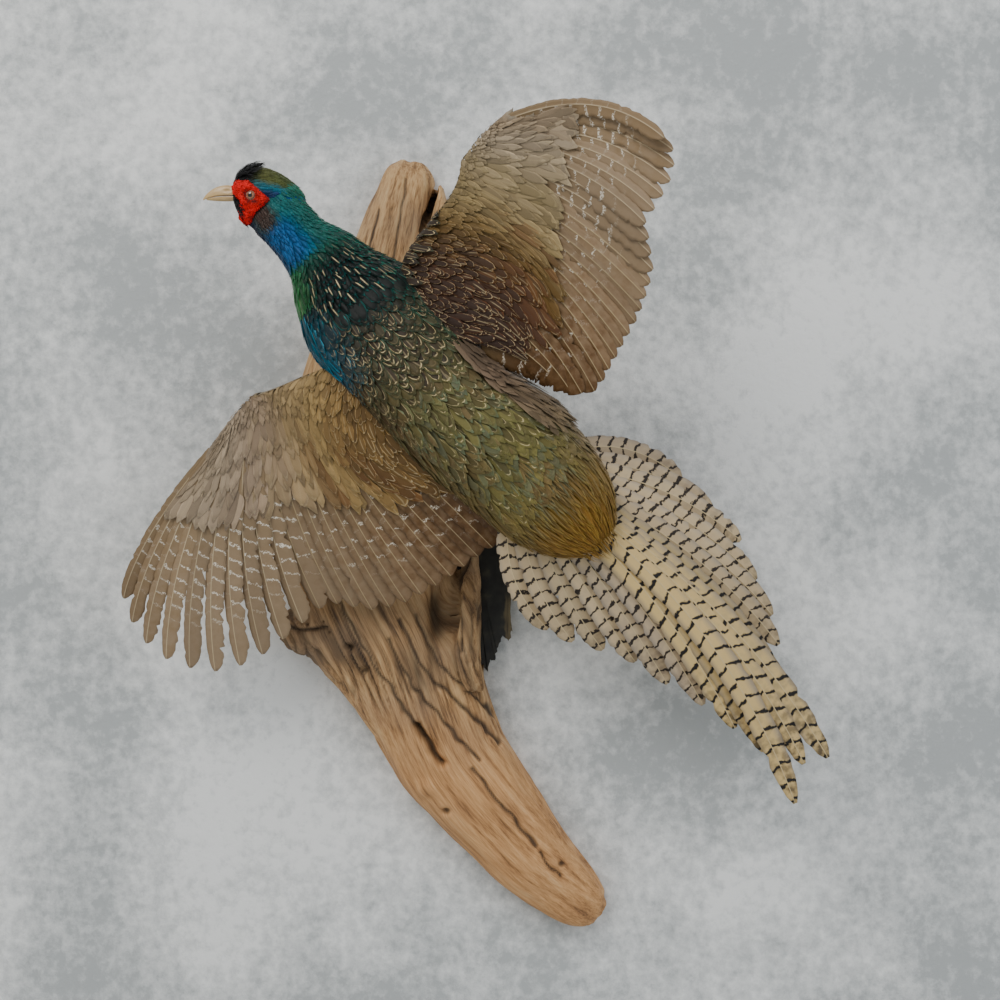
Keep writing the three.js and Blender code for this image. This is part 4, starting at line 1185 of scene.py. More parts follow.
rump_p, rump_q = rows_of(body_surface, 8.8, 11.5, lambda s: 5.2, 0, FULL)
rump_size = np.interp(rump_p, [8.8, 10.2, 11.5], [40, 46, 40]) * rng.uniform(0.8, 1.15, len(rump_p))
rump_coat = coat("rump_hair_feathers", body_surface, rump_p, rump_q, rump_size, 2.2, body_colour,
                 shape="hair", columns=2, rows=6, lift=(0.3, 3.6), yaw=0.13, fray=0.4, edge=body_rim)
print("neck, mantle, back, rump:", len(neck_p), len(mantle_p), len(back_p), len(rump_p))

# %% [markdown]
# ## Feathers of the thighs
# The thighs wear soft dull feathers that end at the hock, where the bare scaled shank begins. The
# skin could end there too, but the rows simply follow each thigh's own surface down to the joint.

# %% Feathers of the thighs
THIGH_TONE = tone("0 231f16, 0.6 3a2f1e, 1 5b4a30")
thigh_coats = []
for label, side in (("left", -1), ("right", 1)):
    surface = thigh_surface(side)
    thigh_p, thigh_q = rows_of(surface, 0.02, 0.93, lambda s: 6.0, 0, FULL)
    thigh_coats.append(coat(f"thigh_{label}_feathers", surface, thigh_p, thigh_q, 17.0, 3.6,
                            lambda s, q: THIGH_TONE(s), shape="lance", columns=2, rows=4, lift=(0.2, 2.0),
                            yaw=0.2, bake_span=((0, 1), (0, FULL))))
print("thighs:", faces_of(thigh_coats))

# %% [markdown]
# ## Wing coverts
# Coverts lie in rows over the bones and the quills: small ones along the front edge, then longer
# ones, and last the greater coverts, one for each flight feather. The underside is paler.

# %% Coverts above and below each wing
LEFT_COVERT = tone("0 8a6a38, 3 977540, 7 a68a58, 10 a88e66, 14 a8917a, 19 a8967f, 23 9c8a72")
RIGHT_COVERT = tone("0 44271a, 3 5a3518, 6 745829, 9 9a8458, 14 a08d6a, 19 ac9a80, 23 a08a6e")
UNDER_COVERT = tone("0 8f8069, 23 a09580")
OLIVE, RUST = (rgb(code) for code in ("80703e", "6b4220"))
COVERT_ROWS = (
    # from, to, spacing, length, half width
    (-0.13, 0.0, 4.4, 11, 2.6),
    (0.01, 0.30, 5.4, 17, 3.1),
    (0.30, 0.56, 6.8, 29, 4.2),
    (0.56, 0.72, 7.8, 41, 5.0),
)


def covert_tract(layout, face, label, colour):
    """Rows of coverts on one face of a wing, and a greater covert for every half flight feather."""
    surface = wing_surface(layout, face)
    last = WING_FEATHERS - 1
    p, q, size, half = [], [], [], []
    for start, end, gap, length, width in COVERT_ROWS:
        row_p, row_q = rows_of(surface, start, end, lambda s: gap, 0.0, last + 0.7)
        shrink = np.interp(row_q, [0, 13, 23], [1.12, 1.0, 0.62])
        p.append(row_p)
        q.append(row_q)
        size.append(length * shrink)
        half.append(width * shrink)
    greater = np.arange(0.1, last, 0.5)
    shrink = np.interp(greater, [0, 13, 23], [1.15, 1.0, 0.7])
    p.append(np.full(len(greater), 0.74) + rng.uniform(-0.015, 0.015, len(greater)))
    q.append(greater)
    size.append(54 * shrink * rng.uniform(0.8, 1.12, len(greater)))
    half.append(6.2 * shrink)
    p, q, size, half = (np.concatenate(values) for values in (p, q, size, half))

    def covert_colour(s, q):
        patch = np.clip(np.sin(1.3 * q + 5 * s) + rng.uniform(-0.8, 0.8, np.shape(s)), 0, 1)
        near = 1 - smooth(6, 13, q)
        mixed = colour(q) * rng.uniform(0.82, 1.12, np.shape(s))[..., None]
        mixed = blend(mixed, OLIVE, 0.3 * patch * (1 - near) * (1 - smooth(14, 18, q)))
        return blend(mixed, RUST, 0.85 * patch * near * smooth(0.2, 0.6, s))

    def laced(s, q):
        return 0.3 + 0.7 * (1 - smooth(3.0, 8.0, q + 3 * s + rng.uniform(-1.5, 1.5, np.shape(s))))

    return coat(f"wing_{label}_feathers", surface, p, q, size, half, covert_colour, lift=(0.25, 1.9),
                rows=5, columns=4, follow_skin=False, yaw=0.13, fray=0.4, least=(70, 4), marks=laced,
                edge=lambda s, q: np.minimum(colour(q) * 1.25, 1), bake_span=((-0.1, 1.2), (0, last)))


# %% Scapulars over the shoulders
SCAPULAR_TONE = tone("-0.2 2a2117, 0.3 33281b, 1 43351f")
SCAPULAR_RIM = tone("-0.2 4d5a44, 0.3 65714f, 1 6a6440")


def scapular_tract(label, across, far):
    """Larger laced feathers that cover the place where the wing leaves the back."""
    surface = wing_surface(LAYOUT[label], 1)
    p, q = rows_of(surface, -0.12, 0.66, lambda s: 8.0, 0.0, across)
    reach = far - (far * 0.45) * smooth(0.0, 0.7, p)
    kept = q < reach + rng.uniform(-0.5, 0.5, len(q))
    p, q = p[kept], q[kept]
    size = np.interp(p, [-0.1, 0.2, 0.66], [15, 24, 34])
    return coat(f"scapular_{label}_feathers", surface, p, q, size, size * 0.27,
                lambda s, q: SCAPULAR_TONE(s), lift=(2.2, 4.4), yaw=0.22, fray=0.25, follow_skin=False,
                edge=lambda s, q: SCAPULAR_RIM(s), least=(70, 4), bake_span=((-0.1, 1.2), (0, 23)))


scapular_coats = [scapular_tract("left", 6.0, 4.4), scapular_tract("right", 9.0, 8.5)]
print("scapulars:", faces_of(scapular_coats))

# %% Both sides of both wings
covert_coats = []
for label, over in (("left", LEFT_COVERT), ("right", RIGHT_COVERT)):
    covert_coats.append(covert_tract(LAYOUT[label], 1, label + "_upper", over))
    covert_coats.append(covert_tract(LAYOUT[label], -1, label + "_lower", UNDER_COVERT))
print("coverts:", faces_of(covert_coats))

# %% [markdown]
# ## The face
# The bare face of a cock is red skin thick with small papillae. The eye is a glass one with an
# amber iris, set deep in a ring of bare lid. The bill is horn, with the nostrils under a flap, and
# short black plumes stand over the forehead and on the chin.

# %% Distances on the cheek
EYE_X, EYE_Z, EYE_SUNK = 7.8, 0.6, 3.7
EYE_RADIUS = 5.2


def cheek_y(x, z):
    """Half width of the head at a height z and a place x of its frame."""
    order = np.argsort(HEAD[:, 0])
    top, bottom, half = (np.interp(x, HEAD[order, 0], HEAD[order, k]) for k in (1, 2, 3))
    middle = bottom + HEAD_LEVEL * (top - bottom)
    rise = np.where(z > middle, (z - middle) / (top - middle), (middle - z) / (middle - bottom))
    return half * np.sqrt(np.clip(1 - rise**2, 0.02, 1))


def to_line(x, z, points):
    """Distance from (x, z) to a line of straight runs through points."""
    best = np.full(np.shape(x), 1e9)
    for (x0, z0), (x1, z1) in zip(points[:-1], points[1:]):
        along = np.clip(((x - x0) * (x1 - x0) + (z - z0) * (z1 - z0)) / ((x1 - x0) ** 2 + (z1 - z0) ** 2),
                        0, 1)
        best = np.minimum(best, np.hypot(x - x0 - along * (x1 - x0), z - z0 - along * (z1 - z0)))
    return best


def from_outline(x, z):
    """Signed distance to the face's outline, positive inside."""
    best = to_line(x, z, [*WATTLE, WATTLE[0]])
    return np.where(inside(WATTLE, x, z), best, -best)


# %% The red face


def red_face(label, side):
    """A thick sheet over one cheek: swollen, folded round the eye and lower lobe, thin at its rim."""
    step = 0.55
    xs, zs = np.arange(-12, 29, step), np.arange(-28, 16.5, step)
    x, z = np.meshgrid(xs, zs, indexing="ij")
    x = x + rng.uniform(-0.1, 0.1, x.shape)
    z = z + rng.uniform(-0.1, 0.1, z.shape)
    depth = from_outline(x, z)
    swell = 1.7 * np.sqrt(np.clip(depth / 3.5, 0, 1))
    from_eye = np.hypot(x - EYE_X, z - EYE_Z)
    socket = -2.6 * (1 - smooth(3.6, 8.5, from_eye))
    lid = 0.9 * np.exp(-((from_eye - 5.2) / 1.0) ** 2)
    fold = -0.9 * np.exp(-((z + 12.5 + 0.25 * (x - 12)) / 1.2) ** 2) * smooth(2, 6, depth)
    pebbles = 0.6 * np.sin(x * 2.6 + 1.6 * np.sin(z * 1.7)) * np.sin(z * 2.5 + 1.5 * np.sin(x * 1.3))
    rise = swell + socket + lid + fold + pebbles * smooth(0, 2, depth) * smooth(4.5, 6.5, from_eye)
    outer = cheek_y(x, z) + np.maximum(rise, socket - 0.2)
    inner = cheek_y(x, z) - 3.4
    keep = (depth > -0.1) & (from_eye > 3.9)
    number = -np.ones(x.shape, int)
    number[keep] = np.arange(keep.sum())
    cells = (number[:-1, :-1] >= 0) & (number[1:, :-1] >= 0) & (number[1:, 1:] >= 0) & (number[:-1, 1:] >= 0)
    a, b, c, d = (n[cells] for n in (number[:-1, :-1], number[1:, :-1], number[1:, 1:], number[:-1, 1:]))
    total = keep.sum()
    top = np.stack([a, b, c, d], axis=1)
    faces = np.concatenate([top, top[:, ::-1] + total])
    edges = {}
    for face in top.tolist():
        for i in range(4):
            edges[(face[i], face[(i + 1) % 4])] = True
    rim = [(i, j) for i, j in edges if (j, i) not in edges]
    walls = [(j, i, i + total, j + total) for i, j in rim]
    local = [np.stack([x[keep], side * y[keep], z[keep]], axis=1) for y in (outer, inner)]
    faces = [tuple(f) for f in faces.tolist()] + walls
    if side > 0:
        faces = [f[::-1] for f in faces]
    piece = mesh_object(f"red_face_{label}", head_to_world(np.concatenate(local)), faces)
    # Painted shade: a dark spot below the eye, and a dark ring in the crease round the lid.
    before_eye = np.exp(-(((x[keep] - 3.5) / 3.4) ** 2) - ((z[keep] + 5.4) / 1.7) ** 2)
    dark = before_eye + 0.6 * np.exp(-((from_eye[keep] - 5.8) / 0.7) ** 2)
    write_layer(piece.data, "smudge", "FLOAT", np.clip(np.concatenate([dark, dark]), 0, 1))
    return piece


def seal(piece):
    """Drops loose points and turns all faces outwards."""
    work = bmesh.new()
    work.from_mesh(piece.data)
    bmesh.ops.delete(work, geom=[v for v in work.verts if not v.link_faces], context="VERTS")
    bmesh.ops.recalc_face_normals(work, faces=work.faces)
    work.to_mesh(piece.data)
    work.free()
    return piece


def painted_piece(name, points, faces, material, **settings):
    """A sealed closed piece with its finish."""
    piece = seal(mesh_object(name, points, faces, **settings))
    piece.data.materials.append(material)
    return piece


faces_red = [seal(red_face("left", 1)), seal(red_face("right", -1))]
print("red face:", len(faces_red[0].data.polygons), "faces a side")

# %% [markdown]
# ## Papillae
# The red skin is thick with warts about a millimetre across. They could be only a bump in the
# finish, but they break the outline of the face. Geometry Nodes scatter small ellipsoids over
# the sheet, with a least distance between them, and the result is made a plain mesh.

# %% Papillae by Geometry Nodes


def set_input(tree, modifier, name, value):
    for item in tree.interface.items_tree:
        if item.item_type == "SOCKET" and item.in_out == "INPUT" and item.name == name:
            modifier[item.identifier] = value


def papillae_tree():
    """Small warty cones scattered over a surface: Density, Size and Seed are set from outside."""
    tree = bpy.data.node_groups.new("papillae", "GeometryNodeTree")
    calc = calculator(tree)
    tree.interface.new_socket("Geometry", in_out="INPUT", socket_type="NodeSocketGeometry")
    for name, kind in (("Density", "NodeSocketFloat"), ("Size", "NodeSocketFloat"),
                       ("Seed", "NodeSocketInt"), ("Material", "NodeSocketMaterial")):
        tree.interface.new_socket(name, in_out="INPUT", socket_type=kind)
    tree.interface.new_socket("Geometry", in_out="OUTPUT", socket_type="NodeSocketGeometry")
    start = tree.nodes.new("NodeGroupInput")
    end = tree.nodes.new("NodeGroupOutput")
    points = put(tree, "GeometryNodeDistributePointsOnFaces", distribute_method="POISSON",
                 at={"Mesh": start.outputs["Geometry"], "Density Max": start.outputs["Density"],
                     "Distance Min": 0.0011, "Seed": start.outputs["Seed"]})
    turned = points.socket.node.outputs["Rotation"]
    wart = put(tree, "GeometryNodeMeshIcoSphere", 1.0, 2)
    flat = put(tree, "GeometryNodeTransform", wart, at={"Scale": (1.0, 1.0, 1.3)})
    grown = put(tree, "GeometryNodeInputIndex")
    size = calc("FRACT", grown * 7.31)
    size = calc("MULTIPLY_ADD", size, 0.5, 0.7)
    size = size * start.outputs["Size"]
    placed = put(tree, "GeometryNodeInstanceOnPoints",
                 at={"Points": points, "Instance": flat, "Rotation": turned, "Scale": size})
    real = put(tree, "GeometryNodeRealizeInstances", placed)
    smooth_faces = put(tree, "GeometryNodeSetShadeSmooth", real)
    painted = put(tree, "GeometryNodeSetMaterial", smooth_faces,
                  at={"Material": start.outputs["Material"]})
    tree.links.new(painted.socket, end.inputs[0])
    return tree


def grow(name, base, tree, **inputs):
    """Runs a node tree on a copy of base and returns the plain mesh that it makes."""
    piece = add_object(name, base.data.copy())
    modifier = piece.modifiers.new(name, "NODES")
    modifier.node_group = tree
    for key, value in inputs.items():
        set_input(tree, modifier, key, value)
    return apply_modifiers(piece)


def red_skin():
    """Scarlet, mottled in its own tones, darker towards the borders of small cells as painted shade in the
    grooves between them, and darker still where the mesh holds painted shade below the eye and round the
    lid.
    """
    material, tree = new_material("red papillate skin")
    place = object_place(tree)
    cells = put(tree, "TexVoronoi", at={"Vector": place, "Scale": 900.0})
    cloud = noise(tree, place, 160.0, 3.0)
    # Darker towards the cell borders, which the bump sinks: painted shade between the warts. The cloud
    # varies the red's own tone.
    share = cells * 0.5 + cloud
    colour = ramp(tree, share, "0.25 f41d17, 0.6 e41813, 0.85 ac0f0c, 1.0 6c0807")
    # Painted shade below the eye and round the lid, near black.
    smudge = attribute(tree, "smudge")
    colour = mix(tree, smudge * 0.85, colour, "230c0a")
    bump = relief(tree, cells, 0.8, 0.0005, invert=True)
    finish(tree, Base_Color=colour, Roughness=0.6, Normal=bump, Specular_IOR_Level=0.2)
    return material


RED_SKIN = red_skin()
PAPILLAE = papillae_tree()
papillae = []
for piece, seed in zip(faces_red, (3, 8)):
    piece.data.materials.append(RED_SKIN)
    papillae.append(grow(piece.name.replace("red_face", "papillae"), piece, PAPILLAE, Density=420000.0,
                         Size=0.00055, Seed=seed, Material=RED_SKIN))
print("papillae:", faces_of(papillae))

# %% [markdown]
# ## Eyes
# A glass eye is a ball with the iris painted behind clear glass. A texture could be painted, but
# a ramp over the angle from the eye's axis draws pupil, iris and rim exactly round. The angle is
# written to a map of its own when the ball is made. Two fleshy lids close round it.

# %% Forms turned about an axis


def turned_form(name, profile, centre, axis, sides, material):
    """A closed form turned about an axis: profile is (distance along, radius)."""
    axis = unit(np.asarray(axis, float))
    first = unit(np.cross(axis, [0.0, 0.0, 1.0]))
    second = np.cross(axis, first)
    turn = circle(sides)
    rings = [centre + axis * d + r * (np.cos(turn)[:, None] * first + np.sin(turn)[:, None] * second)
             for d, r in profile]
    return painted_piece(name, *lofted(rings), material)


# %% The glass eye


def glass_eye():
    """Colour by distance from the middle of the pupil, read from the eye's own map."""
    material, tree = new_material("glass eye with amber iris")
    pupil = put(tree, "UVMap", uv_map="pupil")
    u, v = (put(tree, "SeparateXYZ", pupil, out=k) for k in (0, 1))
    spokes = noise(tree, put(tree, "CombineXYZ", v * 60.0, u * 3.0, 0.0), 1.0)
    out = u + spokes * 0.06
    colour = ramp(tree, out,
                  "0.0 050404, 0.235 060404, 0.255 5a2c0a, 0.36 a5661c, 0.45 8a4d12, 0.5 2a1206, "
                  "0.56 c9a98c")
    finish(tree, Base_Color=colour, Roughness=0.04, Coat_Weight=1.0, Coat_Roughness=0.02)
    return material

def build_eye(label, side, material):
    middle = np.array([EYE_X, side * (cheek_y(EYE_X, EYE_Z) - EYE_SUNK), EYE_Z])
    centre = head_to_world(middle)
    axis = head_to_world(middle + np.array([0.12, side, 0.0])) - centre
    turn = np.linspace(math.pi * 0.999, 0.001, 40)
    profile = [(EYE_RADIUS * math.cos(a), EYE_RADIUS * math.sin(a)) for a in turn]
    eye = turned_form(f"eye_{label}_glass", profile, centre, axis, 48, material)
    layer = eye.data.uv_layers.new(name="pupil")
    axis = unit(axis)
    for loop in eye.data.loops:
        away = np.array(eye.data.vertices[loop.vertex_index].co) / MM - centre
        from_axis = math.acos(max(-1, min(1, float(np.dot(away, axis)) / EYE_RADIUS)))
        layer.data[loop.index].uv = (from_axis / math.pi * 1.9,
                                     math.atan2(away[2], away[0]) / math.tau + 0.5)
    return eye, centre, axis


# %% The lids


def lid_skin():
    material, tree = new_material("pale bare eyelid")
    place = object_place(tree)
    grain = noise(tree, place, 900.0)
    colour = ramp(tree, grain, "0.3 6e4238, 0.7 a87a68")
    finish(tree, Base_Color=colour, Roughness=0.6)
    return material


LID_RADIUS = 3.1        # distance from the eye's axis at which the lids lie on the glass


def lid_ring(label, centre, axis, material):
    """Two fleshy lids round the eye, closer together above and below than at the corners."""
    axis = unit(np.asarray(axis))
    level = unit(np.cross([0, 0, 1.0], axis))
    upright = np.cross(axis, level)
    rings = []
    for a in circle(48):
        rim = centre + level * 3.35 * math.cos(a) + upright * 2.85 * math.sin(a)
        out = unit(level * math.cos(a) + upright * math.sin(a))
        seat = axis * math.sqrt(EYE_RADIUS**2 - LID_RADIUS**2)
        fat = 0.45 + 0.08 * math.sin(7 * a)
        rings.append([rim + seat + (out * math.cos(b) + axis * math.sin(b)) * fat for b in circle(10)])
    rings = np.array(rings)
    count, around_lid = rings.shape[:2]
    faces = [(r * around_lid + k, (r + 1) % count * around_lid + k,
              (r + 1) % count * around_lid + (k + 1) % around_lid, r * around_lid + (k + 1) % around_lid)
             for r in range(count) for k in range(around_lid)]
    return painted_piece(f"eyelid_{label}", rings.reshape(-1, 3), faces, material)


# %% Both eyes
GLASS = glass_eye()
LID = lid_skin()
eyes, lids = [], []
for label, side in (("left", 1), ("right", -1)):
    eye, centre, axis = build_eye(label, side, GLASS)
    eyes.append(eye)
    lids.append(lid_ring(label, centre, axis, LID))
print("eyes:", faces_of(eyes), "lids:", faces_of(lids))

# %% [markdown]
# ## The bill
# The bill is two hollow sheaths of horn over bone. A box could be carved to it, but its form is
# known best by its profile from the side, so each half is lofted through stations along it. The
# nostril is a dent and its flap a swelling, both by smooth bells added to the width.

# %% The bill
# x, top, bottom, half width
UPPER_BILL = [[24, 9.9, 0.7, 6.0], [27, 10.2, 0.7, 5.7], [33, 10.6, 0.8, 4.9], [40, 9.3, 0.4, 3.8],
              [46, 6.4, -0.5, 2.7], [51, 2.4, -1.8, 1.6], [54.3, -1.9, -3.3, 0.5]]
LOWER_BILL = [[24, 0.3, -4.0, 5.2], [27, 0.3, -4.1, 4.9], [34, 0.4, -4.2, 4.0], [41, -0.1, -3.9, 3.0],
              [47, -0.9, -3.5, 1.9], [51, -1.9, -3.0, 0.9]]


def bill_half(name, stations, level, material):
    """One half of the bill, widest at a level between its bottom (0) and top (1)."""
    turn = circle(48)
    rings = []
    for x, top, bottom, half in spline(stations, np.linspace(0, len(stations) - 1, 46)):
        middle = bottom + level * (top - bottom)
        rise = np.sin(turn)
        z = middle + np.where(rise > 0, (top - middle) * rise, (middle - bottom) * rise)
        y = half * np.sign(np.cos(turn)) * np.abs(np.cos(turn)) ** 0.85
        if level < 0.5:
            nostril = np.exp(-((x - 31.5) / 2.6) ** 2 - ((z - 5.4) / 1.1) ** 2)
            flap = np.exp(-((x - 30.5) / 3.4) ** 2 - ((z - 7.3) / 1.3) ** 2)
            y = y * (1 - 0.34 * nostril + 0.1 * flap)
        rings.append(head_to_world(np.stack([np.full(len(turn), x), y, z], axis=1)))
    return painted_piece(name, *lofted(rings), material)


def bill_horn():
    """Tan horn with fine growth lines, darker and browner at the base."""
    material, tree = new_material("tan bill horn")
    place = object_place(tree)
    lines = noise(tree, times(tree, place, (0.5, 1.0, 3.0)), 380.0, 3.0)
    across = put(tree, "SeparateXYZ", place)
    tip = remap(tree, across, -0.158, -0.128, 0.0, 1.0)
    horn = ramp(tree, lines, "0.3 a8875c, 0.7 d0b384")
    colour = mix(tree, tip, "c3a26c", horn)
    bump = relief(tree, lines, 0.25, 0.0003)
    finish(tree, Base_Color=colour, Roughness=0.38, Normal=bump, Coat_Weight=0.2)
    return material


HORN = bill_horn()
bills = [(bill_half("bill_upper_horn", UPPER_BILL, 0.12, HORN), "bill_upper"),
         (bill_half("bill_lower_horn", LOWER_BILL, 0.88, HORN), "bill_lower")]
print("bill:", faces_of(bills))

# %% [markdown]
# ## The legs
# A cock's shank is bare, covered in front by two rows of overlapping scutes, and carries a spur.
# Each toe is ringed by narrow scutes and ends in a worn claw. The relief is a row of steps in the
# radius along each limb, so that light catches the lower edge of every scute.

# %% Shanks, toes, claws and spurs
SHANK_LENGTH, SHANK_RADIUS, TOE_RADIUS = 62, 4.2, 3.1
TOES = [(37, -15, 9), (50, 0, 10), (39, 15, 9), (15, 168, 8)]


def scaled_limb(points, radii, scute=1.0, depth=0.0):
    """A closed tube along points with steps of some depth every scute millimetres."""
    points = np.array(points, float)
    length = np.sum(np.linalg.norm(np.diff(points, axis=0), axis=1))
    count = max(int(length / 0.55), 8)
    line = spline_even(points, count)
    radius = spline(np.array(radii, float)[:, None], np.linspace(0, len(radii) - 1, count))[:, 0]
    step = (np.linspace(0, length, count) / scute) % 1.0
    along = unit(np.gradient(line, axis=0))
    first = unit(np.cross(along, [0.0, 1.0, 0.0]))
    second = np.cross(along, first)
    turn = circle(20)
    offset = np.where(np.sin(turn) > 0, 0.0, 0.5)
    rings = []
    for k in range(count):
        raised = depth * ((step[k] + offset) % 1.0) ** 1.5
        ring = np.cos(turn)[:, None] * first[k] + np.sin(turn)[:, None] * second[k]
        rings.append(line[k] + ring * np.maximum(radius[k] + raised, 0.3)[:, None])
    return lofted(rings)


# %% A leg from its parts


def turned_axis(degrees):
    """The leg's axis turned about the viewer's line."""
    a = math.radians(degrees)
    x, y, z = LEG_AXIS
    return np.array([x * math.cos(a) - z * math.sin(a), y, x * math.sin(a) + z * math.cos(a)])


def build_leg(label, side, scales, claw_horn):
    hip, hock = leg_points(side)
    ankle = hock + LEG_AXIS * SHANK_LENGTH
    start = hip + (hock - hip) * 0.97
    places = [start, hock, hock + (ankle - hock) * 0.3, hock + (ankle - hock) * 0.8, ankle]
    forms = [scaled_limb(places, [SHANK_RADIUS * f for f in (1.2, 1.3, 0.95, 0.95, 1.1)], 4.2, 0.42)]
    base = hock + (ankle - hock) * 0.62
    end = base - LEG_SIDE * side * 13 - LEG_AXIS * 2
    forms.append(scaled_limb([base, base + (end - base) * 0.6 + LEG_AXIS * 0.6, end], [2.6, 1.8, 0.4]))
    shank = painted_piece(f"shank_{label}_scales", *merged(forms), scales)
    sole = ankle + LEG_AXIS * (0.3 + TOE_RADIUS * 1.6)
    foot, claws = [], []
    ball = [sole + LEG_AXIS * d for d in (-4.6, -2.5, 0, 2.5, 4.6)]
    foot.append(scaled_limb(ball, [1.6, 4.2, 4.9, 4.2, 1.6]))
    for length, angle, claw in TOES:
        along = turned_axis(angle)
        toe = [sole + along * length * t - np.array([0, 3 * math.sin(math.pi * t), 0])
               for t in (0, 0.25, 0.5, 0.75, 1)]
        foot.append(scaled_limb(toe, [TOE_RADIUS * f for f in (0.95, 0.92, 0.85, 0.8, 0.66)], 2.3, 0.36))
        tip = sole + along * length
        claws.append(scaled_limb([tip - along, tip + along * claw * 0.5 + [0, 0.9, 0],
                                  tip + along * claw + [0, 4.6, 0]], [1.75, 1.3, 0.35]))
    foot = painted_piece(f"foot_{label}_scales", *merged(foot), scales)
    claws = painted_piece(f"foot_{label}_claws", *merged(claws), claw_horn)
    return [(shank, f"shank_{label}"), (foot, f"foot_{label}"), (claws, f"foot_{label}")]


# %% Scales and claws


def horny(name, low, high, scale, rough):
    """Mottled horn or dry scale: two tones, fine bump."""
    material, tree = new_material(name)
    cloud = noise(tree, object_place(tree), scale, 4.0)
    bump = relief(tree, cloud, 0.3, 0.0003)
    finish(tree, Base_Color=ramp(tree, cloud, f"0.3 {low}, 0.7 {high}"), Roughness=rough, Normal=bump)
    return material


SCALES = horny("dry grey-brown leg scales", "574c40", "8b7d69", 420.0, 0.5)
CLAW_HORN = horny("dark claw horn", "231d18", "4a4036", 600.0, 0.35)
legs = build_leg("left", -1, SCALES, CLAW_HORN) + build_leg("right", 1, SCALES, CLAW_HORN)
print("legs:", faces_of(legs))

# %% [markdown]
# ## The driftwood
# The mount is a river-worn limb with a ridge, a narrow prong and a broken stub. Its forms are
# joined and remeshed like the skin; then water wear is cut in: broad hollows, grooves along the
# grain, drying cracks, a slit, knot holes and worm holes, each where it lies on this limb.

# %% Forms of the driftwood
# x, z, half width, depth from the wall
STEM = [[24, 281, 13, 26], [21, 268, 25, 38], [13, 237, 31, 44], [-1, 179, 39, 52], [-14, 115, 50, 60],
        [-26, 54, 62, 64], [-32, -1, 69, 64], [-32, -62, 72, 62], [-26, -118, 77, 60], [-8, -170, 87, 60],
        [15, -214, 79, 60], [37, -266, 65, 57], [62, -318, 58, 54], [84, -349, 53, 52],
        [106, -378, 49, 50], [149, -429, 41, 44], [186, -464, 33, 36], [206, -480, 24, 29],
        [216, -486, 12, 19]]
RIDGE = [[85, -112, 7, 52], [82, -150, 12, 64], [80, -200, 15, 68], [86, -252, 12, 58]]
PRONG = [[51, 257, 4, 30], [53, 232, 7, 36], [44, 190, 12, 42], [30, 150, 14, 46]]
STUB = [[-106, -190, 16, 34], [-84, -196, 24, 46], [-40, -190, 34, 54]]


def wood_form(stations):
    line = spline(stations, np.linspace(0, len(stations) - 1, 6 * len(stations)))
    place = np.stack([line[:, 0], 0 * line[:, 0], line[:, 1]], axis=1)
    across = unit(np.cross(unit(np.gradient(place, axis=0)), TOWARDS_VIEWER))
    turn = np.linspace(0, math.pi, 25)
    sideways = np.sign(np.cos(turn)) * np.abs(np.cos(turn)) ** 0.75
    forwards = np.sin(turn) ** 0.65
    return lofted([place[k] + across[k] * (sideways * line[k, 2])[:, None] + TOWARDS_VIEWER
                   * (forwards * line[k, 3])[:, None] for k in range(len(line))])


# %% Wear cut into the wood
# depth, half width, line of (x, z)
CRACKS = [(9, 2.4, [(50, 262), (45, 238), (36, 208)]),
          (4.4, 2.7, [(89, -112), (74, -137), (71, -162), (76, -211)]),
          (3.2, 3.0, [(14, -181), (39, -231), (80, -270), (114, -306)]),
          (2.6, 2.9, [(30, -176), (54, -226), (92, -262), (124, -296)]),
          (2.6, 2.9, [(3, -201), (30, -251), (70, -296), (94, -321)]),
          (16, 3.6, [(32, -287), (44, -306), (55, -325)]),
          (3, 2.0, [(154, -415), (166, -431), (174, -440)]),
          (1.2, 2.0, [(20, 262), (10, 190), (-6, 120)]), (1.4, 2.0, [(-8, 230), (-22, 160), (-40, 90)]),
          (1.5, 2.9, [(-50, -150), (-24, -205), (14, -262), (40, -300)]),
          (3.4, 2.7, [(-112, -186), (-84, -192), (-60, -190)]),
          (1.8, 2.7, [(86, -330), (120, -372), (150, -408)]),]
# x, z, half width, half height, depth
PITS = [(56, -176, 12, 32, 24), (-35, -209, 5.5, 4.5, 8), (-20, -232, 4.5, 5, 7), (60, -373, 5, 4, 5),
        (176, -428, 4, 3.5, 3), (-80, -186, 1.9, 1.9, 4), (-72, -191, 1.7, 1.7, 4),
        (-64, -184, 1.9, 1.6, 4), (-90, -181, 1.6, 1.6, 4), (-57, -194, 1.6, 1.6, 4),
        (41, -350, 9, 8, -3.5), (-44, 20, 9, 14, 4), (22, 284, 4, 5, 2)]


# %% Carving the wear


def wood_noise(*parts):
    return np.array([mathutils.noise.noise(place) for place in np.stack(parts, axis=1).tolist()])


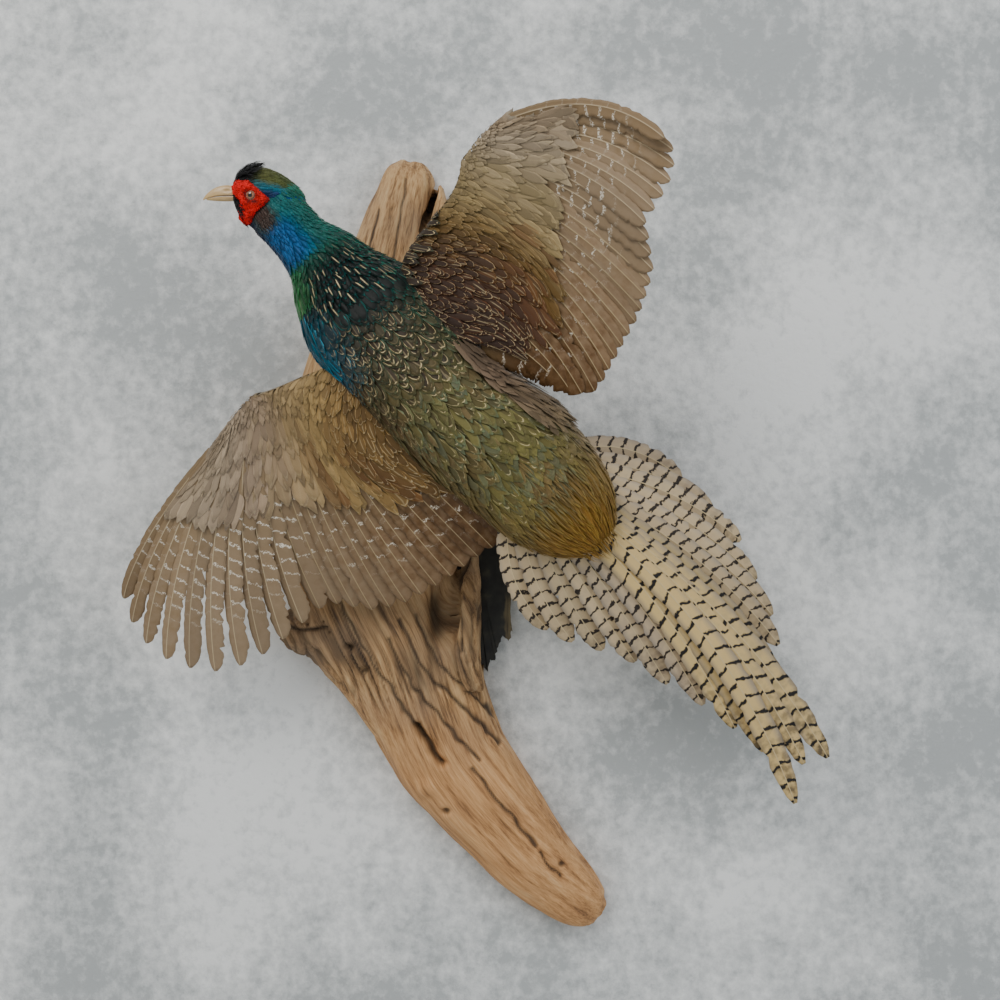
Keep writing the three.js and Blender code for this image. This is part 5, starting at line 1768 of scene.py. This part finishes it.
def wear(piece):
    """Moves the wood's points inwards by its wear and writes the grain on them, and painted shade: dark in
    the grooves, cracks and holes, and the left wing's painted shadow across the middle. The knot is a little
    darker in its own tone.
    """
    mesh = piece.data
    count = len(mesh.vertices)
    at, normal = np.empty(count * 3), np.empty(count * 3)
    mesh.vertices.foreach_get("co", at)
    mesh.vertices.foreach_get("normal", normal)
    at, normal = at.reshape(-1, 3) / MM, normal.reshape(-1, 3)
    x, y, z = at.T
    line = spline_even(np.array(STEM, float)[:, :2], 240)
    nearest = np.argmin((x[:, None] - line[:, 0]) ** 2 + (z[:, None] - line[:, 1]) ** 2, axis=1)
    grain_way = unit(np.gradient(line, axis=0))[nearest]
    run = np.sum(np.linalg.norm(np.gradient(line, axis=0), axis=1)[0]) * nearest
    offset = np.stack([x, z], axis=1) - line[nearest]
    side = offset[:, 0] * grain_way[:, 1] - offset[:, 1] * grain_way[:, 0] + 5 * np.sin(run / 60)
    run = run + np.sum(offset * grain_way, axis=1)
    grooves = wood_noise(run / 120, side / 8, y / 14)
    hollows = wood_noise(run / 70 + 9, side / 30, y / 30)
    ragged = wood_noise(run / 34 + 4, side / 7, y / 7)
    low = 1 - smooth(-340, -270, z)
    deep = 0.12 + 0.88 * (1 - smooth(-200, -130, z)) * (1 - 0.85 * low)
    cut = 1.0 + 3.6 * hollows - 2.6 * deep * np.exp(-((grooves / 0.2) ** 2)) + 0.9 * ragged
    # Painted shade: darker along the deep grooves, and across the middle stretch of the limb, under the left
    # wing, as its painted shadow.
    middle = (1 - smooth(-175, -120, z)) * smooth(-290, -215, z)
    dark = 0.32 * deep * np.exp(-((grooves / 0.2) ** 2)) + middle * (0.42 + 0.5 * hollows)
    jitter = 2.2 * wood_noise(x / 14, y / 14, z / 14 + 3)
    for depth, half, points in CRACKS:
        near = np.exp(-((to_line(x + jitter, z + jitter, points) / half) ** 2))
        cut -= depth * near
        # Painted shade inside each crack.
        dark = np.maximum(dark, 0.9 * near)
    for px, pz, half, tall, depth in PITS:
        near = np.exp(-((((x - px) / half) ** 2 + ((z - pz) / tall) ** 2) ** 1.5))
        cut -= depth * near
        # Painted shade inside each hole; the swelling of the knot is a little darker in its own tone.
        dark = np.maximum(dark, near * (0.85 if depth > 0 else 0.3))
    front = 1 - smooth(-9, -1.5, y)
    at = at + normal * (cut * front)[:, None]
    mesh.vertices.foreach_set("co", (at * MM).ravel())
    write_layer(mesh, "grain", "FLOAT_VECTOR", np.stack([run, side, y], axis=1) * MM)
    write_layer(mesh, "cracks", "FLOAT", np.clip(dark * front, 0, 1))
    mesh.update()
    return piece


wood = wear(one_surface("driftwood_limb", [wood_form(f) for f in (STEM, RIDGE, PRONG, STUB)], 1.9, 2))
print("driftwood:", len(wood.data.polygons), "faces")

# %% [markdown]
# ## Finishes of the mount
# Weathered wood shows silvery fibres along the grain. The cracks, holes and grooves hold painted
# shade, dark brown, and the middle of the limb a painted shadow of the left wing. A scanned texture
# would stretch over the carved form. Noise that is pulled out along the grain follows it instead,
# because every point holds its own place along, across and into the grain.

# %% The wood's finish


FIBRE_SCALES = (11.0, 150.0, 110.0)     # along the grain, across it and into the wood


def wood_finish():
    """Long fibres along the grain, cloudy weathering over them, warmer lower down, and painted shade: dark
    brown in the cracks, holes and grooves, and the left wing's shadow across the middle.
    """
    material, tree = new_material("river-worn driftwood")
    calc = calculator(tree)
    grain = attribute(tree, "grain", "Vector")
    fibres = noise(tree, times(tree, grain, FIBRE_SCALES), 1.0, 7.0, 0.68)
    threads = noise(tree, times(tree, grain, (30, 900, 900)), 1.0, 3.0)
    cloud = noise(tree, object_place(tree), 16.0, 4.0)
    mixed = fibres + calc("MULTIPLY_ADD", threads, 0.35, -0.175)
    colour = ramp(tree, mixed, "0.3 533c26, 0.4 8a6740, 0.5 b58e61, 0.62 caa676, 0.75 d6b78d")
    cloudy = remap(tree, cloud, 0.42, 0.68, 0.0, 0.6)
    colour = mix(tree, cloudy, colour, "85705a")
    z = put(tree, "SeparateXYZ", object_place(tree), out=2)
    warm = ramp(tree, mixed, "0.3 805835, 0.45 b88553, 0.6 d09c66, 0.75 dab07e")
    colour = mix(tree, remap(tree, z, -0.25, -0.34, 0.0, 0.75), colour, warm)
    # Painted shade, dark brown: in the cracks, holes and grooves, and the left wing's shadow across the
    # middle.
    cracks = attribute(tree, "cracks")
    colour = mix(tree, remap(tree, cracks, 0.25, 0.95, 0.0, 0.95), colour, "150e09")
    bump = relief(tree, mixed, 0.75, 0.0014)
    finish(tree, Base_Color=colour, Roughness=0.82, Normal=bump)
    return material


wood.data.materials.append(wood_finish())

print("wood finish:", wood.data.materials[0].name)

# %% The black board
# outline as (x, z)
BOARD = [(44, 30), (113, 30), (120, -60), (127, -110), (127.5, -150), (124.5, -172), (126, -196),
         (123, -206), (117, -201), (111, -214), (108, -226), (104, -224), (101, -238), (97, -229),
         (92, -232), (70, -222), (44, -206)]
BOARD_THICK = 18


def backing_board():
    """A sawn black plate with a broken lower edge: the outline is stepped finely and roughened."""
    corners = np.array([*BOARD, BOARD[0]], float)
    outline = []
    for a, b in zip(corners[:-1], corners[1:]):
        outline += [a + (b - a) * t for t in np.arange(0, 1, 3.0 / np.linalg.norm(b - a))]
    outline = np.array(outline)
    rough = rng.uniform(-0.5, 0.5, outline.shape) * np.where(outline[:, 1:] < -190, 2.2, 0.5)
    outline = outline + rough
    inner = outline + unit(outline.mean(0) - outline) * 1.0
    rings = [np.stack([o[:, 0], np.full(len(o), y), o[:, 1]], axis=1) for o,
             y in ((inner, 0.0), (outline, -1.0), (outline, -BOARD_THICK + 1.0),
                   (inner, -BOARD_THICK + 0.2))]
    return painted_piece("backing_board_plate", *lofted(rings), board_finish(), smooth_faces=False)


def board_finish():
    """Near black and mottled, with olive-brown streaks along the lower right edge."""
    material, tree = new_material("worn black paint on wood")
    place = object_place(tree)
    x = put(tree, "SeparateXYZ", place)
    z = put(tree, "SeparateXYZ", place, out=2)
    scuffs = noise(tree, place, 90.0, 5.0)
    paint = ramp(tree, scuffs, "0.35 121210, 0.6 24241f, 0.78 3f3a2e")
    streaks = noise(tree, times(tree, place, (420, 420, 40)), 1.0)
    # Olive-brown streaks, shown only along the lower right edge of the board.
    bare = ramp(tree, streaks, "0.3 3c3322, 0.7 75684a")
    edge = remap(tree, x + scuffs * 0.006, 0.1215, 0.1235, 0.0, 1.0)
    low = remap(tree, z, -0.168, -0.155, 1.0, 0.0)
    strip = edge * low
    colour = mix(tree, strip, paint, bare)
    bump = relief(tree, scuffs, 0.4, 0.001)
    finish(tree, Base_Color=colour, Roughness=0.6, Normal=bump)
    return material


# %% The rods


def steel_finish():
    material, tree = new_material("plain steel rod")
    cloud = noise(tree, object_place(tree), 300.0, 3.0)
    finish(tree, Base_Color=ramp(tree, cloud, "0.3 6d6b68, 0.7 9b9995"), Metallic=1.0, Roughness=0.4)
    return material


board = backing_board()
STEEL = steel_finish()
# distance along and radius, with a small bevel at each end
ROD_PROFILE = [(0.0, 3.4), (0.6, 4.0), (84.4, 4.0), (85.0, 3.4)]
rods = []
for label, x, z in (("upper", 8.0, 78.0), ("lower", 30.0, 34.0)):
    rod = turned_form(f"mounting_rod_{label}_bar", ROD_PROFILE, np.array([x, -40.0, z]), TOWARDS_VIEWER,
                      32, STEEL)
    rods.append((rod, f"mounting_rod_{label}"))
print("board:", len(board.data.polygons), "rods:", faces_of(rods))

# %% [markdown]
# ## Finishes of the feathers
# A contour feather carries a ground colour and the colour of its rim, both set where it grows.
# The finish adds what the barbs do: fine slanting lines, a shaft, and on the mantle and the back
# the cream lacing that runs parallel to the rim.

# %% Contour feathers


def feather_finish(name, lacing=None, streak=0.0, gloss=0.5, rim_from=0.6, barbs=26.0, sheen=0.0):
    """lacing: (distance of the line from the feather's middle, width, inner sRGB, line sRGB).
    streak: strength of the pale shaft line. gloss: roughness. rim_from: where the rim begins."""
    material, tree = new_material(name)
    vane = put(tree, "UVMap", uv_map="vane")
    u, v = (put(tree, "SeparateXYZ", vane, out=k) for k in (0, 1))
    ground = attribute(tree, "ground", "Color")
    rim = attribute(tree, "rim", "Color")
    tint = attribute(tree, "tint")
    marks = attribute(tree, "marks")

    calc = calculator(tree)
    side = abs(calc("MULTIPLY_ADD", u, 2.0, -1.0))
    # Only the last third of a feather shows beyond the next one, so the marks lie there.
    tipward = calc("MAXIMUM", v - 0.6, 0.0) * 2.1
    wobble = put(tree, "TexNoise", at={"Vector": vane, "W": tint * 40.0, "Scale": 5.0},
                 noise_dimensions="4D")
    apart = calc("SQRT", side * side + tipward * tipward)
    apart = apart + (wobble - 0.5) * 0.22
    rim_share = remap(tree, apart, rim_from, rim_from + 0.3, interpolation_type="SMOOTHSTEP")
    colour = mix(tree, rim_share, ground, rim)
    if lacing:
        middle, width, inner, line = lacing
        within = remap(tree, apart, middle - 0.1, middle, 1.0, 0.0)
        colour = mix(tree, within * (marks * 0.85), colour, inner)
        shift = middle + (tint - 0.5) * 0.16
        on_line = calc("COMPARE", apart, shift, width)
        broken = remap(tree, wobble, 0.42, 0.52)
        lined = on_line * broken * marks
        colour = mix(tree, lined, colour, line)
    if streak:
        near_shaft = remap(tree, side, 0.05, 0.13, 1.0, 0.0)
        lengthwise = ramp(tree, v, "0.4 000000, 0.55 ffffff, 0.9 ffffff, 1.0 000000")
        chosen = calc("GREATER_THAN", tint, 0.62)
        share = near_shaft * lengthwise * (chosen * marks * streak)
        colour = mix(tree, share, colour, "b5a37c")
    barb_at = (v - side * 0.22) * (barbs * 6.283)
    barb = calc("SINE", barb_at)
    bright = calc("MULTIPLY_ADD", barb, 0.1, calc("MULTIPLY_ADD", tint, 0.5, 0.74))
    colour = times(tree, colour, bright)
    bump = relief(tree, calc("MULTIPLY_ADD", barb, 0.5, side * -0.6), 0.35, 0.0004)
    finish(tree, Base_Color=colour, Roughness=gloss, Normal=bump, Metallic=sheen, Specular_IOR_Level=0.28)
    return material


FINISHES = {
    "head": feather_finish("iridescent head plumage", gloss=0.42, rim_from=0.5, barbs=10, sheen=0.25),
    "neck": feather_finish("iridescent neck plumage", streak=0.9, gloss=0.4, rim_from=0.55, barbs=14,
                           sheen=0.3),
    "mantle": feather_finish("cream-laced mantle plumage", (0.6, 0.034, "2f2318", "c4b084"), streak=0.3,
                             rim_from=0.68),
    "back": feather_finish("loose olive back plumage", (0.55, 0.03, "4c4324", "b5a57a"), gloss=0.65,
                           rim_from=0.55, barbs=20),
    "rump": feather_finish("hair-like rump plumage", gloss=0.65, rim_from=0.4, barbs=8),
    "thigh": feather_finish("soft thigh plumage", gloss=0.7, barbs=10),
    "left": feather_finish("buff wing coverts", (0.72, 0.03, "5a4324", "c4ae86"), streak=0.5, gloss=0.6,
                           rim_from=0.7),
    "right": feather_finish("chestnut wing coverts", (0.72, 0.03, "2f2118", "b9a37c"), streak=0.5, gloss=0.6,
                            rim_from=0.7),
}
for piece, key in ((head_coat, "head"), (crest_coat, "head"), (chin_coat, "head"), (flank_coat, "thigh"),
                   (neck_coat, "neck"), (mantle_coat, "mantle"), (back_coat, "back"), (rump_coat, "rump"),
                   *((t, "thigh") for t in thigh_coats), *((c, c.name.split("_")[1])
        for c in covert_coats), *((c, "mantle") for c in scapular_coats), (plume_coat, "neck")):
    piece.data.materials.append(FINISHES[key])

print("finishes:", sorted(FINISHES))

# %% [markdown]
# ## Bars of the long feathers
# Flight and tail feathers are barred across, and each bar steps where it meets the shaft. A bar
# could be painted on each feather by hand. Here the distance from the tip, which the vane's map
# holds in millimetres, is bent by waves and cut into bars, and a number of its own sets each
# feather apart from the next.

# %% Flight and tail feathers


def long_finish(name, vane_tone, bar_tone, spacing, bar_width, wave, jag, leading_bars, shaft_tone,
                edge_tone=None, blotch=0.0, root_dull=None):
    """Barred vanes. spacing, bar_width, wave, jag: mm. The vane map holds millimetres: across in
    fortieths from the shaft at 0.5, and back from the tip in four-hundredths."""
    material, tree = new_material(name)
    vane = put(tree, "UVMap", uv_map="vane")
    u, v = (put(tree, "SeparateXYZ", vane, out=k) for k in (0, 1))
    tint = attribute(tree, "tint")
    number = attribute(tree, "number")
    reach = attribute(tree, "reach")

    calc = calculator(tree)
    across = (u - 0.5) * 40.0
    off_shaft = abs(across)
    back = v * 400.0
    seed = tint * 37.0
    real = put(tree, "CombineXYZ", across, back, seed)
    cloud = noise(tree, real, 0.12, 3.0)
    fine = noise(tree, real, 0.9)
    base = ramp(tree, calc("MULTIPLY_ADD", cloud - 0.5, 1.2, number), vane_tone)
    if edge_tone:
        rim = remap(tree, off_shaft, 6.0, 12.0)
        base = mix(tree, rim * 0.8, base, edge_tone)
    if root_dull:
        hidden = remap(tree, reach, 0.55, 0.15)
        base = mix(tree, hidden * 0.7, base, root_dull)
    if blotch:
        worn = remap(tree, reach, 0.72, 1.0) * remap(tree, cloud, 0.42, 0.62)
        base = mix(tree, worn * blotch, base, "3f3327")
    # Bars cross the vane in a shallow wave and step where they meet the shaft.
    stepped = calc("SIGN", across) * jag
    waved = (noise(tree, real, 0.2) - 0.5) * wave
    along = back + stepped + (waved + calc("MULTIPLY_ADD", off_shaft, 0.35, seed))
    phase = abs(calc("FRACT", along / spacing) - 0.5)
    half = calc("MULTIPLY_ADD", fine, 0.9, 0.45) * (bar_width / spacing / 2)
    bar = remap(tree, phase - half, -0.035, 0.02, 1.0, 0.0)
    if not leading_bars:
        bar = bar * remap(tree, across, -0.8, 0.8, 1.0, 0.15)
        bar = bar * remap(tree, fine, 0.44, 0.54)
        bar = bar * remap(tree, abs(reach - 0.45), 0.2, 0.34, 1.0, 0.0)
    colour = mix(tree, bar, base, bar_tone)
    shaft = remap(tree, off_shaft, 0.25, 0.55, 1.0, 0.0)
    colour = mix(tree, shaft, colour, shaft_tone)
    barb = calc("SINE", (back + off_shaft * 0.6) * (6.283 / 1.1))
    bright = calc("MULTIPLY_ADD", barb, 0.06, calc("MULTIPLY_ADD", tint, 0.22, 0.87))
    colour = times(tree, colour, bright)
    bump = relief(tree, barb * (1.0 - shaft), 0.3, 0.0003)
    finish(tree, Base_Color=colour, Roughness=0.55, Normal=bump, Specular_IOR_Level=0.35)
    return material


# %% Finishes on the long feathers
SECONDARY = long_finish("brown barred secondaries", "0.0 55391a, 0.2 664828, 0.5 7f6446, 1.0 8f785c",
                        "dfd4bf", 19.0, 3.0, 12.0, 3.0, False, "ab9670", root_dull="6b5638")
PRIMARY = long_finish("brown barred primaries", "0.0 8c765a, 0.5 957f64, 1.0 8a7253", "e2d8c6", 14.5, 2.6,
                      9.0, 3.0, False, "bba785", root_dull="7d6849")
TAIL_SIDE_FINISH = long_finish("buff barred outer tail feathers", "0.0 c0a984, 0.5 cbb48d, 1.0 b8a386",
                               "2b221b", 13.5, 3.3, 9.0, 6.0, True, "cdb98f", edge_tone="9a9085",
                               blotch=0.5)
TAIL_MIDDLE_FINISH = long_finish("golden barred central tail feathers",
                                 "0.0 d2b478, 0.5 d4b67c, 1.0 b9a274", "17120f", 18.5, 3.8, 6.5, 1.5,
                                 True, "cdb88c", edge_tone="958a7c", blotch=0.9)
for piece, node in remiges:
    piece.data.materials.append(SECONDARY if "secondaries" in node else PRIMARY)
for piece, node in rectrices:
    piece.data.materials.append(TAIL_MIDDLE_FINISH if node == "tail_centre" else TAIL_SIDE_FINISH)
print("feather finishes on", len(remiges) + len(rectrices), "rows of long feathers")

# %% [markdown]
# ## The skin under the coat
# Where feathers part, the skin shows. One flat tone would shine through as a spot, so each point
# of the skin takes the colours of the feathers nearest to it, darkened as painted shade between the
# feathers.

# %% The skin takes the colours of its coat


SAMPLE_EVERY = 17       # takes about two points of each small feather


def colour_skin():
    """Each point of the skin takes the mean ground colour of the three nearest feather points."""
    roots, colours = [], []
    for piece in [head_coat, neck_coat, mantle_coat, back_coat, rump_coat] + thigh_coats + covert_coats:
        mesh = piece.data
        co = np.empty(len(mesh.vertices) * 3)
        mesh.vertices.foreach_get("co", co)
        ground = np.empty(len(mesh.vertices) * 4)
        mesh.attributes["ground"].data.foreach_get("color", ground)
        roots.append(co.reshape(-1, 3)[::SAMPLE_EVERY])
        colours.append(ground.reshape(-1, 4)[::SAMPLE_EVERY])
    roots, colours = np.concatenate(roots), np.concatenate(colours)
    tree = KDTree(len(roots))
    for i, root in enumerate(roots):
        tree.insert(root, i)
    tree.balance()
    near = [[i for _, i, _ in tree.find_n(vertex.co, 3)] for vertex in skin.data.vertices]
    write_layer(skin.data, "ground", "FLOAT_COLOR", colours[np.array(near)].mean(1))
    material, tree = new_material("cured skin under the feathers")
    ground = attribute(tree, "ground", "Color")
    place = object_place(tree)
    down = noise(tree, place, 260.0, 4.0)
    # Painted shade: the skin, seen only between the feathers, is darkened to 45 to 85 per cent of their
    # colour.
    shade = remap(tree, down, 0.3, 0.7, 0.45, 0.85)
    colour = times(tree, ground, shade)
    bump = relief(tree, down, 0.5, 0.0006)
    finish(tree, Base_Color=colour, Roughness=0.8, Normal=bump)
    skin.data.materials.append(material)


colour_skin()
print("skin finish:", skin.data.materials[0].name)

# %% [markdown]
# ## Wearing the feathers
# Nothing on a mounted bird moves, so every piece rides on the mount's one body. The skin with its
# whole coat stands for the solids of the flesh together, because no feather tract ends where a
# solid does. All other pieces stand for one solid each.

# %% Join the pieces to the frame
FLESH = ("head", "neck_upper", "neck_lower", "breast", "trunk", "rump", "tail_coverts", "thigh_left",
         "thigh_right", "wing_left_arm", "wing_right_arm", "wing_left_hand", "wing_right_hand")
coats = [head_coat, crest_coat, chin_coat, neck_coat, flank_coat, plume_coat, mantle_coat, back_coat,
         rump_coat] + thigh_coats + covert_coats + scapular_coats
for piece in [skin] + coats:
    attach(piece, "root")
    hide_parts(*FLESH)
for slot, pieces in (("crown_feathers", [head_coat, crest_coat, chin_coat]),
                     ("neck_feathers", [neck_coat, plume_coat]),
                     ("mantle_feathers", [mantle_coat, back_coat, flank_coat] + scapular_coats),
                     ("rump_feathers", [rump_coat]), ("thigh_feathers", thigh_coats),
                     ("wing_coverts", covert_coats), ("flight_feathers", [p for p, _ in remiges]),
                     ("tail_feathers", [p for p, _ in rectrices]),
                     ("wattle_skin", faces_red + papillae + lids), ("glass_eye", eyes),
                     ("bill_horn", [p for p, _ in bills]), ("leg_scales", [p for p, _ in legs]),
                     ("driftwood", [wood]), ("black_board", [board]),
                     ("mount_steel", [p for p, _ in rods]),):
    for piece in pieces:
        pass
for piece, node in remiges + rectrices:
    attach(piece, "root")
    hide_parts(node)
for side, label in ((0, "left"), (1, "right")):
    for piece, node in ((faces_red[side], "wattle_"), (papillae[side], "wattle_"), (eyes[side], "eye_"),
                        (lids[side], "eye_")):
        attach(piece, "root")
        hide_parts(node + label)
for piece, node in [*bills, *legs, *rods, (wood, "driftwood"), (board, "backing_board")]:
    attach(piece, "root")
    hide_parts(node)
